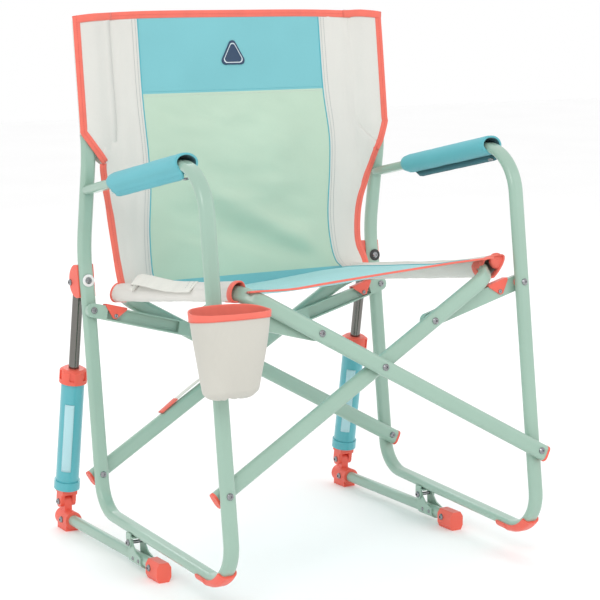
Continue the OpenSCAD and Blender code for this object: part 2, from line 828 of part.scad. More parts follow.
module cup_holder() {
    color(off_white) cup_place() difference() {
        cup_solid(0, 0);
        cup_solid(cup_wall, cup_wall);
        bolt_relief();
    }
}

// Binding round the mouth of the cup holder.
module cup_holder_band() {
    color(coral) cup_place() translate([0, 0, cup_h + 0.2]) difference() {
        linear_extrude(height = band_h) cup_outline(1, 0);
        translate([0, 0, -1]) linear_extrude(height = band_h + 2) cup_outline(1, cup_wall);
        translate([0, 0, -cup_h - 0.2]) bolt_relief();
    }
}

side_tube(left);  // left_side_tube
armrest_pad(left);  // left_armrest_pad
front_pad(left);  // left_front_pad
rail_bracket(left);  // left_rail_bracket
strut_mount(left);  // left_strut_mount
frame_fasteners(left);  // left_frame_fasteners
back_sleeve(left);  // left_back_sleeve
cup_holder();
cup_holder_band();
back_panel();
headrest_patch();
side_tube(right);  // right_side_tube
armrest_pad(right);  // right_armrest_pad
front_pad(right);  // right_front_pad
rail_bracket(right);  // right_rail_bracket
strut_mount(right);  // right_strut_mount
frame_fasteners(right);  // right_frame_fasteners
back_sleeve(right);  // right_back_sleeve
spacer();  // link_spacer
seat_frame_tube(left);  // seat_frame_a_tube
seat_frame_end_caps(left);  // seat_frame_a_end_caps
seat_frame_a_fasteners();
seat_sleeve(left);  // left_seat_sleeve
pull_loop();
seat_panel();
seat_frame_tube(right);  // seat_frame_b_tube
seat_frame_end_caps(right);  // seat_frame_b_end_caps
seat_frame_b_fasteners();
seat_sleeve(right);  // right_seat_sleeve
carry_strap();
link_bar(left, front);  // front_left_link
wedge(left, front);  // front_left_wedge
link_bar(right, front);  // front_right_link
wedge(right, front);  // front_right_wedge
link_bar(left, rear);  // rear_left_link
wedge(left, rear);  // rear_left_wedge
link_bar(right, rear);  // rear_right_link
wedge(right, rear);  // rear_right_wedge
ground_tube(left);  // left_ground_tube
foot_cap(left);  // left_foot_cap
knuckle(left);  // left_knuckle
saddle(left);  // left_saddle
ground_fasteners(left);  // left_ground_fasteners
ground_tube(right);  // right_ground_tube
foot_cap(right);  // right_foot_cap
knuckle(right);  // right_knuckle
saddle(right);  // right_saddle
ground_fasteners(right);  // right_ground_fasteners
strut_cylinder(left);  // left_strut_cylinder
strut_gland(left);  // left_strut_gland
strut_clevis(left);  // left_strut_clevis
strut_spring(left);  // left_strut_spring
strut_rod(left);  // left_strut_rod
strut_piston(left);  // left_strut_piston
strut_cylinder(right);  // right_strut_cylinder
strut_gland(right);  // right_strut_gland
strut_clevis(right);  // right_strut_clevis
strut_spring(right);  // right_strut_spring
strut_rod(right);  // right_strut_rod
strut_piston(right);  // right_strut_piston
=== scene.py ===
"""Folding camp rocking chair: fabric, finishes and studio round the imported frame. Metres.

Soft pieces are laid out in millimetres in the chair's leaning frame (x, u, w): x from the middle
towards the sitter's left, u back and down, w up and back, as the frame's own tubes are.
"""

import math

import bpy
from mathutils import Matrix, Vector, noise


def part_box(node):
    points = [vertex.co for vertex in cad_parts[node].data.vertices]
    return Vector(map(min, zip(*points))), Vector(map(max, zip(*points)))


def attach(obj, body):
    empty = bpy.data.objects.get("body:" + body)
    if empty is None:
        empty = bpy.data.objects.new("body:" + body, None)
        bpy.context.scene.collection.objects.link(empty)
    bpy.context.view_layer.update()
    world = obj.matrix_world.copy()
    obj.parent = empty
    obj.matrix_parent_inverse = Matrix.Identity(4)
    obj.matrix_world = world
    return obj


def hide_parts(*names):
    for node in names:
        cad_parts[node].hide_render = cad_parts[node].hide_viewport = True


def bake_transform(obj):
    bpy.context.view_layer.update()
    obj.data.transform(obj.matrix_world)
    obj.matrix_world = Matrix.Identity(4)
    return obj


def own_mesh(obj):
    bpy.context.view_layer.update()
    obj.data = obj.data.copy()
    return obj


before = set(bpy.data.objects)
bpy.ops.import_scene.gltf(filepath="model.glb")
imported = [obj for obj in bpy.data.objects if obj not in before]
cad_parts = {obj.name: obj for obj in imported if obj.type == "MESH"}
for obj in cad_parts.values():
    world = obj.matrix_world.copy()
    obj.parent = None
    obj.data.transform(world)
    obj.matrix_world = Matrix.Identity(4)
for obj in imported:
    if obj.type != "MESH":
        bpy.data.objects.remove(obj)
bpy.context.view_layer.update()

# ---------- driving values ----------

MM = 0.001
LEAN = math.radians(8)       # of the posts, backwards off upright
LAYER = 17.0                 # the right frame stands this much further back
POST_U = 101.0               # u of the posts' straight stretch
SLEEVE_MID_W = 808.5         # w of the middle of the back sleeves
TOP_W = 911.0                # top edge of the back at the posts
CROWN = 8.0                  # rise of the top edge halfway between the posts
HEADREST_W = 781.0           # seam between the headrest and the back
LUMBAR_W = 465.0             # seam between the back and the seat colour
SEAT_W = 457.0               # of the seat cloth at its front edge, near the middle
FRONT_U, REAR_U = -302.0, 147.0    # u of the bars of the seat frames
BAR_ANGLE = math.radians(29.72)    # rise of these bars at rest
CROSS_W = 315.0              # w of their crossing
RAIL_REACH = 274.0           # from the crossing up a bar to its rail
LINK_LEG_W = 426.0           # w of the link pivots on the legs
STRUT_BOLT_W = 476.0         # w of the bolts of the strut mounts
STRUT_LEAN = math.radians(10.02)   # of the struts, forwards off upright
BINDING_W, BINDING_T = 12.5, 2.6   # width and thickness of the coral tape round the back
CLOTH_T = 1.1                # thickness of the back and seat cloths
PIPING_R = 1.0
ROUND_STEPS = 24             # sides of a small turned part

CAMERA_AZIMUTH, CAMERA_ELEVATION = math.radians(-30.5), math.radians(9.32)
CAMERA_DISTANCE = 3.3995     # metres from its aim
CAMERA_LENS, CAMERA_SENSOR = 123.0, 36.0
CAMERA_HEIGHT = 0.424        # metres from the floor to its aim

COS, SIN = math.cos(LEAN), math.sin(LEAN)


def middle(node):
    """Middle of a frame node's box."""
    low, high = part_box(node)
    return (Vector(low) + Vector(high)) / 2


left_mid, right_mid = middle("left_back_sleeve"), middle("right_back_sleeve")
HALF = (right_mid.x - left_mid.x) / 2 / MM         # x of the frames' middle planes, millimetres
MID_X = (left_mid.x + right_mid.x) / 2             # metres, as is ORIGIN_Y
ORIGIN_Y = left_mid.y - (POST_U * COS + SLEEVE_MID_W * SIN) * MM


# ---------- places ----------

def place(x, u, w):
    """Point of the scene, in metres, for a place in the leaning frame."""
    return Vector((MID_X + x * MM, ORIGIN_Y + (u * COS + w * SIN) * MM, (w * COS - u * SIN) * MM))


def cloth(x, u, w):
    """The same for cloth between the frames, which is skewed because the right frame stands back."""
    return place(x, u + LAYER * (x / HALF + 1) / 2, w)


def on_side(side, x, u, w):
    """The same for a side frame's own parts: x from the frame's middle plane."""
    return place(side * HALF + x, u, w) + Vector((0, LAYER / COS * MM if side > 0 else 0, 0))


def on_bar(side, s, u, z):
    """A place on a seat frame: s up the bar from the crossing, z across the bar."""
    x = side * (s * math.cos(BAR_ANGLE) - z * math.sin(BAR_ANGLE))
    w = CROSS_W + s * math.sin(BAR_ANGLE) + z * math.cos(BAR_ANGLE)
    return place(x, u + (LAYER if side > 0 else 0), w)


def towards(a, b):
    """Unit vector from a to b."""
    return (b - a).normalized()


FORWARD = towards(place(0, 0, 0), place(0, -1, 0))
BACKWARD = towards(place(0, 0, 0), place(0, 1, 0))


def side_name(side):
    return "right" if side > 0 else "left"


def smooth(a, b, t):
    """Eases from 0 at a to 1 at b, which may be the lower one."""
    k = min(max((t - a) / (b - a), 0), 1)
    return k * k * (3 - 2 * k)


def along(table, t):
    """Smooth curve through the table's (place, value) pairs, in rising order of place."""
    if t <= table[0][0]:
        return table[0][1]
    for i in range(len(table) - 1):
        (a, p), (b, q) = table[i], table[i + 1]
        if t <= b:
            before = table[max(i - 1, 0)]
            after = table[min(i + 2, len(table) - 1)]
            m0 = (q - before[1]) / (b - before[0]) if b > before[0] else 0
            m1 = (after[1] - p) / (after[0] - a) if after[0] > a else 0
            k, span = (t - a) / (b - a), b - a
            return ((2 * k**3 - 3 * k**2 + 1) * p + (k**3 - 2 * k**2 + k) * m0 * span
                    + (3 * k**2 - 2 * k**3) * q + (k**3 - k**2) * m1 * span)
    return table[-1][1]


def spread(a, b, n):
    """a and b and the even steps between them, n steps in all."""
    return [a + (b - a) * i / n for i in range(n + 1)]


def turns(count):
    """Angles of count even steps round a circle."""
    return [2 * math.pi * k / count for k in range(count)]


def rough(x, y, z, scale, seed=0):
    """Soft noise from -1 to 1 with the given scale in millimetres."""
    return noise.noise(Vector((x / scale + seed, y / scale, z / scale)))


# ---------- node materials ----------

class Finish:
    """A Principled material with helpers for procedural detail."""

    def __init__(self, name, colour, roughness, **inputs):
        self.material = bpy.data.materials.new(name)
        self.material.use_nodes = True
        self.nodes = self.material.node_tree.nodes
        self.shader = self.nodes["Principled BSDF"]
        self.shader.inputs["Base Color"].default_value = (*linear(colour), 1)
        self.shader.inputs["Roughness"].default_value = roughness
        for key, value in inputs.items():
            self.shader.inputs[key.replace("_", " ")].default_value = value
        self.colour = linear(colour)
        self.height = None

    def add(self, kind, links=(), **values):
        node = self.nodes.new(kind)
        for key, value in values.items():
            if hasattr(node, key):
                setattr(node, key, value)
            else:
                node.inputs[key].default_value = value
        for socket, source in links:
            self.material.node_tree.links.new(source, node.inputs[socket])
        return node

    def link(self, source, target):
        self.material.node_tree.links.new(source, self.shader.inputs[target])

    def coordinates(self, uv=False):
        return self.add("ShaderNodeTexCoord").outputs["UV" if uv else "Object"]

    def noise(self, where, scale, detail=2.0):
        return self.add("ShaderNodeTexNoise", [("Vector", where)], Scale=scale, Detail=detail).outputs["Fac"]

    def stripes(self, where, scale, direction):
        wave = self.add("ShaderNodeTexWave", [("Vector", where)], bands_direction=direction, Scale=scale)
        return wave.outputs["Fac"]

    def math(self, operation, a, b):
        node = self.add("ShaderNodeMath", operation=operation)
        for socket, value in zip(node.inputs, (a, b)):
            if isinstance(value, (int, float)):
                socket.default_value = value
            else:
                self.material.node_tree.links.new(value, socket)
        return node.outputs[0]

    def tint(self, factor, low, high):
        """Base colour from low to high times the plain colour, following factor."""
        ramp = self.add("ShaderNodeValToRGB", [("Fac", factor)])
        for stop, share, at in zip(ramp.color_ramp.elements, (low, high), (0.25, 0.75)):
            stop.position = at
            stop.color = (*[min(c * share, 1) for c in self.colour], 1)
        self.link(ramp.outputs["Color"], "Base Color")

    def vary_roughness(self, factor, low, high):
        spread_node = self.add("ShaderNodeMapRange", [("Value", factor)])
        spread_node.inputs["To Min"].default_value = low
        spread_node.inputs["To Max"].default_value = high
        self.link(spread_node.outputs["Result"], "Roughness")

    def bump(self, height, distance, strength=1.0):
        links = [("Height", height)]
        if self.height is not None:
            links.append(("Normal", self.height))
        node = self.add("ShaderNodeBump", links, Distance=distance, Strength=strength)
        self.height = node.outputs["Normal"]
        self.link(self.height, "Normal")


def linear(colour):
    """Linear values of an 8-bit display colour."""
    return tuple((c / 255 / 12.92) if c <= 10 else ((c / 255 + 0.055) / 1.055) ** 2.4 for c in colour)


def enamel(name, colour):
    f = Finish(name, colour, 0.3, Coat_Weight=0.45, Coat_Roughness=0.12)
    where = f.coordinates()
    f.tint(f.noise(where, 9.0, 3.0), 0.95, 1.03)
    f.vary_roughness(f.noise(where, 160.0), 0.26, 0.38)
    f.bump(f.noise(where, 420.0, 1.0), 0.0004, 0.25)
    return f.material


def moulded(name, colour, roughness=0.4):
    f = Finish(name, colour, roughness, Subsurface_Weight=0.04, Coat_Weight=0.08)
    where = f.coordinates()
    f.tint(f.noise(where, 14.0), 0.93, 1.05)
    f.vary_roughness(f.noise(where, 240.0), roughness - 0.06, roughness + 0.08)
    f.bump(f.noise(where, 1500.0, 1.0), 0.0002, 0.3)
    return f.material


def metal(name, colour, roughness, grain, lay=(1.0, 1.0, 1.0)):
    """Bare metal with fine turning or drawing marks, stretched along lay."""
    f = Finish(name, colour, roughness, Metallic=1.0)
    mapping = f.add("ShaderNodeMapping", [("Vector", f.coordinates())])
    mapping.inputs["Scale"].default_value = lay
    marks = f.noise(mapping.outputs["Vector"], grain, 3.0)
    f.tint(marks, 0.9, 1.06)
    f.vary_roughness(marks, roughness * 0.8, roughness * 1.4)
    f.bump(marks, 0.0001, 0.15)
    return f.material


def woven(name, colour, pitch=0.0014, depth=0.0003, sheen=0.25, shade=0.9):
    """Plain woven cloth: crossed yarns over a soft random unevenness of colour, with painted shade between
    the yarns.
    """
    f = Finish(name, colour, 0.82, Sheen_Weight=sheen, Sheen_Roughness=0.45, Specular_IOR_Level=0.25)
    where = f.coordinates(uv=True)
    yarns = 1 / (pitch * math.pi)
    warp, weft = f.stripes(where, yarns, "X"), f.stripes(where, yarns, "Y")
    weave_and_gap_shade = f.math("MULTIPLY", warp, weft)
    slub = f.noise(where, 260.0, 2.0)
    cloud = f.noise(where, 7.0, 2.0)
    # The yarn pattern darkens the base colour where the yarns dip: painted shade between the yarns. The cloud
    # and slub are random variation of the cloth's colour.
    weave_shade_and_tone = f.math("ADD", f.math("MULTIPLY", weave_and_gap_shade, 0.5), f.math("MULTIPLY", cloud, 0.55))
    f.tint(f.math("ADD", weave_shade_and_tone, f.math("MULTIPLY", slub, 0.1)), shade, 1.06)
    f.bump(weave_and_gap_shade, depth, 0.5)
    f.bump(slub, depth, 0.2)
    return f.material


def ribbed(name, colour, pitch=0.0016, across="X"):
    """Grosgrain tape or webbing, ribbed across its length, with painted shade in the grooves."""
    f = Finish(name, colour, 0.7, Sheen_Weight=0.2, Sheen_Roughness=0.4, Specular_IOR_Level=0.3)
    where = f.coordinates(uv=True)
    ribs_and_groove_shade = f.stripes(where, 1 / (pitch * math.pi), across)
    # Darker in the grooves between the raised cords: painted shade. The noise is random variation of the
    # tape's colour.
    weave_shade_and_tone = f.math("ADD", f.math("MULTIPLY", ribs_and_groove_shade, 0.4), f.math("MULTIPLY", f.noise(where, 40.0), 0.6))
    f.tint(weave_shade_and_tone, 0.88, 1.06)
    f.bump(ribs_and_groove_shade, 0.0003, 0.5)
    return f.material


def thread(name, colour):
    f = Finish(name, colour, 0.6, Sheen_Weight=0.3)
    f.tint(f.noise(f.coordinates(), 500.0), 0.85, 1.05)
    return f.material


SAGE = enamel("sage_powder_coat", (150, 180, 164))
CORAL_PLASTIC = moulded("coral_moulding", (234, 96, 78))
STRUT_BLUE = enamel("strut_blue", (82, 172, 182))
ROD = metal("polished_rod_steel", (118, 116, 112), 0.1, 60.0, (40.0, 40.0, 1.0))
SPRING = metal("spring_wire", (120, 122, 126), 0.3, 300.0)
MACHINED = metal("machined_steel", (160, 162, 165), 0.3, 200.0)
ZINC = metal("plated_steel", (150, 151, 154), 0.22, 400.0)
WHITE_PLASTIC = moulded("white_washer", (232, 232, 230), 0.35)
BLACK_PLASTIC = moulded("black_washer_plastic", (40, 40, 42), 0.4)
BLUE_CLOTH = woven("headrest_blue_cloth", (126, 192, 199))
SEAT_CLOTH = woven("seat_blue_cloth", (160, 218, 222))
MINT_CLOTH = woven("back_mint_cloth", (191, 213, 193))
WHITE_CLOTH = woven("sleeve_white_cloth", (219, 217, 211), pitch=0.0016)
CUP_CLOTH = woven("cup_white_cloth", (198, 196, 187), pitch=0.0016, depth=0.0001)
PAD_CLOTH = woven("armrest_blue_cloth", (107, 186, 196), pitch=0.0011, sheen=0.15)
# Inner face of the armrest wrap: the cloth's own colour made darker, partly as painted shade for the shadowed
# inside of the roll.
PAD_INSIDE_SHADED = woven("armrest_lining_and_shade", (70, 120, 130), pitch=0.0016)
CORAL_TAPE = ribbed("coral_grosgrain", (237, 116, 101))
WEBBING = ribbed("off_white_webbing", (226, 226, 218), pitch=0.002)
TEAL_THREAD = thread("teal_thread", (74, 176, 190))
GREY_THREAD = thread("grey_thread", (150, 156, 160))
CORAL_THREAD = thread("coral_thread", (214, 84, 70))
WHITE_THREAD = thread("white_thread", (214, 214, 208))
NAVY = moulded("patch_navy", (34, 62, 92), 0.5)
PALE_RIM = moulded("patch_pale_rim", (214, 226, 230), 0.5)
LABEL = moulded("blank_label", (176, 214, 220), 0.45)

CAD_FINISHES = [
    ("side_tube", SAGE), ("seat_frame_a_tube", SAGE), ("seat_frame_b_tube", SAGE), ("_link", SAGE),
    ("ground_tube", SAGE), ("saddle", SAGE), ("rail_bracket", SAGE),
    ("armrest_pad", PAD_CLOTH), ("front_pad", CORAL_PLASTIC), ("strut_mount", CORAL_PLASTIC),
    ("wedge", CORAL_PLASTIC), ("end_caps", CORAL_PLASTIC), ("link_spacer", CORAL_PLASTIC),
    ("foot_cap", CORAL_PLASTIC), ("knuckle", CORAL_PLASTIC), ("gland", CORAL_PLASTIC),
    ("clevis", CORAL_PLASTIC), ("strut_cylinder", STRUT_BLUE), ("strut_rod", ROD),
    ("strut_spring", SPRING), ("strut_piston", MACHINED), ("fasteners", ZINC),
    ("sleeve", WHITE_CLOTH), ("cup_holder", CUP_CLOTH), ("panel", BLUE_CLOTH),
    ("patch", NAVY), ("pull_loop", WEBBING), ("carry_strap", WEBBING),
]


def finish_frame():
    """Every CAD node takes the finish of the first name part that matches."""
    for name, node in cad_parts.items():
        finish = next(f for part, f in CAD_FINISHES if part in name)
        node.data.materials.clear()
        node.data.materials.append(finish)


# ---------- mesh building ----------

def new_piece(name, points, faces, materials, uvs=None, zones=None):
    """Mesh object with smooth faces; uvs per vertex in metres, or else x and z, and zones per face."""
    mesh = bpy.data.meshes.new(name)
    mesh.from_pydata(points, [], faces)
    for m in materials:
        mesh.materials.append(m)
    layer = mesh.uv_layers.new(name="UVMap")
    for polygon in mesh.polygons:
        polygon.use_smooth = True
        if zones:
            polygon.material_index = zones[polygon.index]
        for loop in polygon.loop_indices:
            i = mesh.loops[loop].vertex_index
            layer.data[loop].uv = uvs[i] if uvs else (points[i].x, points[i].z)
    mesh.update()
    piece = bpy.data.objects.new(name, mesh)
    bpy.context.scene.collection.objects.link(piece)
    return piece


def grid_uvs(rows):
    """Lengths along and across a grid of points, in metres."""
    mid = rows[len(rows) // 2]
    across = [0.0]
    for a, b in zip(mid, mid[1:]):
        across.append(across[-1] + (b - a).length)
    uvs, down = [], 0.0
    for i, row in enumerate(rows):
        if i:
            down += (row[len(row) // 2] - rows[i - 1][len(row) // 2]).length
        uvs += [(across[j], down) for j in range(len(row))]
    return uvs


def grid(name, rows, materials, zone=None, closed=False, skip=None, cap=False):
    """Surface through rows of points. zone(i, j) picks a face's material, skip(i, j) leaves it out.

    With cap a face closes the last row, and the uvs are seen from the front, not lengths along the rows.
    """
    width = len(rows[0])
    faces, zones = [], []
    for i in range(len(rows) - 1):
        for j in range(width if closed else width - 1):
            if skip and skip(i, j):
                continue
            k = (j + 1) % width
            faces.append((i * width + j, (i + 1) * width + j, (i + 1) * width + k, i * width + k))
            zones.append(zone(i, j) if zone else 0)
    if cap:
        faces.append(tuple((len(rows) - 1) * width + j for j in range(width - 1, -1, -1)))
        zones.append(0)
    points = [p for row in rows for p in row]
    return new_piece(name, points, faces, materials, None if cap else grid_uvs(rows), zones)


def made_final(piece):
    """Applies the piece's modifiers to its mesh."""
    bpy.context.view_layer.update()
    graph = bpy.context.evaluated_depsgraph_get()
    mesh = bpy.data.meshes.new_from_object(
        piece.evaluated_get(graph), preserve_all_data_layers=True, depsgraph=graph)
    piece.modifiers.clear()
    piece.data = mesh
    for polygon in mesh.polygons:
        polygon.use_smooth = True
    return piece


def thickened(piece, thickness, offset=0.0, levels=0, back=None):
    """Gives cloth its thickness; back is the material index shift of the inner face."""
    solid = piece.modifiers.new("thickness", "SOLIDIFY")
    solid.thickness = thickness * MM
    solid.offset = offset
    if back is not None:
        solid.material_offset = back
    if levels:
        sub = piece.modifiers.new("smooth", "SUBSURF")
        sub.levels = sub.render_levels = levels
    return made_final(piece)


def frames_along(path, normals):
    """Tangent, normal and side at each point of a path."""
    result = []
    for i, p in enumerate(path):
        tangent = (path[min(i + 1, len(path) - 1)] - path[max(i - 1, 0)]).normalized()
        normal = normals[i] - tangent * normals[i].dot(tangent)
        normal.normalize()
        result.append((p, tangent, normal, tangent.cross(normal)))
    return result


def sweep(name, path, normals, section, material, closed=False):
    """Tube of the section, whose points are (side, normal) in millimetres, along a path."""
    if closed:
        count = len(path)
        path = [path[-1]] + list(path) + [path[0]]
        normals = [normals[-1]] + list(normals) + [normals[0]]
    rings = [[p + (side * a + normal * b) * MM for a, b in section]
             for p, _, normal, side in frames_along(path, normals)]
    if closed:
        rings = rings[1:count + 1]
    width = len(section)
    faces = []
    for i in range(len(rings) if closed else len(rings) - 1):
        n = (i + 1) % len(rings)
        for j in range(width):
            k = (j + 1) % width
            faces.append((i * width + j, i * width + k, n * width + k, n * width + j))
    if not closed:
        faces.append(tuple(range(width - 1, -1, -1)))
        faces.append(tuple((len(rings) - 1) * width + j for j in range(width)))
    travelled, down = 0.0, [0.0]
    for a, b in zip(path, path[1:]):
        travelled += (b - a).length
        down.append(travelled)
    uvs = [(down[i], j * 0.002) for i in range(len(rings)) for j in range(width)]
    return new_piece(name, [p for r in rings for p in r], faces, [material], uvs)


FLAT_SHAPE = ((-1, -0.5), (-1, 0.5), (-0.8, 1), (0, 1.08), (0.8, 1),
              (1, 0.5), (1, -0.5), (0.8, -1), (0, -1.08), (-0.8, -1))


def flat_section(width, thickness):
    """Rounded flat section, a little fuller in its middle."""
    return [(a * width / 2, b * thickness / 2) for a, b in FLAT_SHAPE]


def round_section(radius, sides=8):
    return [(radius * math.cos(a), radius * math.sin(a)) for a in turns(sides)]


def resampled(path, normals, step):
    """Points of a path at even steps of its length, with their normals."""
    lengths = [0.0]
    for a, b in zip(path, path[1:]):
        lengths.append(lengths[-1] + (b - a).length)
    count = max(2, round(lengths[-1] / (step * MM)))
    points, ups, i = [], [], 0
    for k in range(count + 1):
        target = lengths[-1] * k / count
        while i < len(lengths) - 2 and lengths[i + 1] < target:
            i += 1
        share = (target - lengths[i]) / max(lengths[i + 1] - lengths[i], 1e-9)
        points.append(path[i].lerp(path[i + 1], share))
        ups.append(normals[i].lerp(normals[i + 1], share).normalized())
    return points, ups


STITCH_RINGS = ((-0.5, 0.35), (-0.3, 1), (0.3, 1), (0.5, 0.35))     # (share of the length, size)
STITCH_SHAPE = ((-1, -0.6), (-0.6, 0.5), (0.6, 0.5), (1, -0.6))


def stitches(name, path, normals, material, pitch=3.4, length=2.3, width=0.7, lift=0.3):
    """Row of short raised threads along a path, joined in one mesh."""
    points, ups = resampled(path, normals, pitch)
    verts, faces = [], []
    for p, tangent, normal, side in frames_along(points, ups):
        at = p + normal * lift * MM
        base = len(verts)
        for end, share in STITCH_RINGS:
            for a, b in STITCH_SHAPE:
                out = (side * a + normal * b) * share * width / 2 * MM
                verts.append(at + tangent * end * length * MM + out)
        for ring in range(3):
            for j in range(4):
                k = (j + 1) % 4
                corners = (ring * 4 + j, ring * 4 + k, ring * 4 + 4 + k, ring * 4 + 4 + j)
                faces.append(tuple(base + v for v in corners))
        faces.append((base + 3, base + 2, base + 1, base))
        faces.append((base + 12, base + 13, base + 14, base + 15))
    return new_piece(name, verts, faces, [material])


def lifted(path, ups, height):
    """The path moved out along its normals, for what is sewn on top of the cloth."""
    return [p + up * height * MM for p, up in zip(path, ups)]


def folds_flat(piece):
    """Cloth between the frames moves with the left frame, on a mesh of its own."""
    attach(piece, "left_frame")
    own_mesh(piece)
    return piece


# ---------- back ----------

# Edges and seams of the back as (w, x).
BACK_LEFT = [(440, -232), (474, -240), (530, -248), (590, -256), (640, -266), (668, -270), (700, -262),
             (720, -250), (910, -250)]
BACK_RIGHT = [(440, 269), (473, 263), (500, 251), (530, 249), (577, 254), (621, 268), (655, 280), (676, 284),
              (705, 256), (720, 250), (910, 250)]
SEAM_LEFT = [(440, -160), (470, -171), (490, -174), (548, -174), (630, -171), (675, -174), (781, -179),
             (907, -179)]
SEAM_RIGHT = [(440, 232), (461, 210), (475, 196), (502, 188), (560, 184), (647, 187), (700, 187), (781, 180),
              (907, 179)]
# The cloth between the posts, the cloth on the posts and the posts' own middle line as (w, u).
BACK_DEPTH = [(440, 132), (472, 128), (560, 120), (640, 108), (700, 102), (907, 101)]
POST_FRONT = [(560, 131), (655, 102), (686, 95), (712, 96), (720, 99.5), (907, 99.5)]
POST_LINE = [(640, 116), (655, 111.5), (686, 104.5), (718, 101.8), (907, 100)]
# Section of a post sleeve as (distance from the middle of the chair, u from the post's middle line).
SLEEVE_FRONT = [(235, -2.0), (250, -4.2), (257, -5.6), (264, -7.2), (271, -8.4), (277, -9.2), (283, -9.5),
                (295, -9.6), (303, -9.0), (304, -8.2)]
SLEEVE_REAR = [(303, -6.8), (302, -1.0), (299, 6.0), (295, 9.6), (289, 11.2), (283, 10.6), (277, 8.6),
               (271, 6.4), (264, 4.6), (257, 3.4), (250, 2.6), (243, 1.9), (235, 1.0)]
SLEEVE_COLUMNS = (304, 303, 299, 295, 289, 283, 277, 271, 264, 257, 250, 243, 235)
# Outer edge of each sleeve as x, and its lower edge as (x, w).
SLEEVE_LEFT = {"outer": -304, "low": [(-304, 719), (-290, 700), (-266, 668), (-235, 662)]}
SLEEVE_RIGHT = {"outer": 303, "low": [(235, 655), (283, 664), (292, 680), (303, 714)]}
TAPE_INSET = BINDING_W / 2 - 1.5    # from an edge to the middle of the tape on it


def back_depth(x, w):
    """u of the back cloth: pulled forward over the posts, sagging a little between them."""
    u = along(BACK_DEPTH, w)
    over_post = max(0.0, u - along(POST_FRONT, w)) if w > 560 else 0
    u -= smooth(238, 268, abs(x)) * over_post
    belly = 9 * (1 - (x / 265) ** 2) * smooth(440, 560, w) * (1.1 - 0.4 * smooth(700, 907, w))
    lift = (x + 55) * 0.46 + (w - 612) * 0.89      # distance from the long slanting fold
    fold = 9.5 * math.exp(-(lift / 21) ** 2) - 6.0 * math.exp(-((lift + 40) / 24) ** 2)
    fold *= smooth(-120, -20, x) * smooth(190, 130, x)
    mint = smooth(470, 520, w) * (1 - smooth(740, 781, w)) * smooth(190, 120, abs(x))
    crease = 3.4 * rough(x * 0.8 + w * 0.5, w * 1.4 - x * 0.45, 0, 90, 3.1)
    crease += 1.6 * rough(x + w, w * 2, 0, 42, 8.2)
    sides = smooth(170, 200, abs(x)) * (1 - smooth(250, 262, abs(x)))
    pleat = 1.8 * rough(x * 3, w * 0.35, 0, 40, 5.5)
    return u + max(belly, 0) + mint * (crease - fold) + sides * pleat


def crowned(x, w):
    """The top of the back rises a little between the posts."""
    return w + CROWN * (1 - (x / HALF) ** 4) * smooth(HEADREST_W, TOP_W, w)


def back_point(x, w):
    """A place on the back cloth."""
    return cloth(x, back_depth(x, w), w)


def back_normal(x, w):
    """Unit normal of the back cloth, towards the sitter."""
    a = back_point(x + 2, w) - back_point(x - 2, w)
    b = back_point(x, w + 2) - back_point(x, w - 2)
    n = a.cross(b).normalized()
    return n if n.y < 0 else -n


def on_back(walk):
    """Points and normals of the back cloth along a walk of (x, w) places."""
    return [back_point(x, w) for x, w in walk], [back_normal(x, w) for x, w in walk]


def back_cloth():
    """One sheet from the headrest to the seat: white sides, blue at the top and foot, mint between."""
    heights = spread(TOP_W, HEADREST_W, 22)
    heights += spread(HEADREST_W, LUMBAR_W, 54)[1:] + spread(LUMBAR_W, 441, 5)[1:]
    rows, bands = [], (14, 60, 14)                 # columns of the left side, the middle, the right side
    for w in heights:
        edges = [along(t, w) for t in (BACK_LEFT, SEAM_LEFT, SEAM_RIGHT, BACK_RIGHT)]
        xs = []
        for k, n in enumerate(bands):
            xs += spread(edges[k], edges[k + 1], n)[1 if k else 0:]
        rows.append([back_point(x, crowned(x, w)) for x in xs])

    def zone(i, j):
        if not bands[0] <= j < bands[0] + bands[1]:
            return 0
        return 1 if heights[i] <= LUMBAR_W or heights[i] > HEADREST_W else 2

    piece = grid("back_cloth", rows, [WHITE_CLOTH, BLUE_CLOTH, MINT_CLOTH], zone)
    thickened(piece, CLOTH_T)
    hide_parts("back_panel")
    folds_flat(piece)
    return piece


def sleeve_front(side, x, w):
    """u of the pocket's front: flat over the post, flush with the back cloth, tucked behind it low down."""
    over = along(POST_LINE, w) + along(SLEEVE_FRONT, abs(x))
    over += 0.7 * rough(x * 1.6, w * 0.35, 0, 26, side * 4.0)
    flush = back_depth(x, w) - 1.0 + 3.5 * smooth(735, 690, w)
    inner = smooth(266, 242, abs(x))
    return over * (1 - inner) + flush * inner


def tape_front(side, x, w):
    """u of the middle of a tape sewn on the pocket or on the cloth in front of it."""
    return min(sleeve_front(side, x, w), back_depth(x, w)) - 0.9


def post_sleeve(side):
    """Pocket of the white cloth round a post, closed over the post's top."""
    shape = SLEEVE_RIGHT if side > 0 else SLEEVE_LEFT
    low = shape["low"]
    ring = [(side * d, 0.0) for d in SLEEVE_COLUMNS]
    ring += [(side * d, h) for d, h in reversed(SLEEVE_REAR)]
    rows = []
    for t in spread(0, 1, 44):
        row = []
        for x, h in ring:
            top = crowned(x, TOP_W) + 1
            w = top - (top - along(low, x)) * t
            front = sleeve_front(side, x, w)
            shut = smooth(TOP_W - 8, TOP_W + 1, w) * smooth(225, 270, abs(x))
            rear = max(along(POST_LINE, w) + h, front + 1.2)
            u = front if h == 0 else rear * (1 - shut) + (front + 1.5) * shut
            row.append(on_side(side, x - side * HALF, u, w))
        rows.append(row)
    name = side_name(side)
    piece = grid(f"{name}_post_sleeve", rows, [WHITE_CLOTH], closed=True)
    thickened(piece, 0.9, -1.0 if side > 0 else 1.0)   # inwards: the two rings run opposite ways
    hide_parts(f"{name}_back_sleeve")
    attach(piece, f"{name}_frame")
    return piece


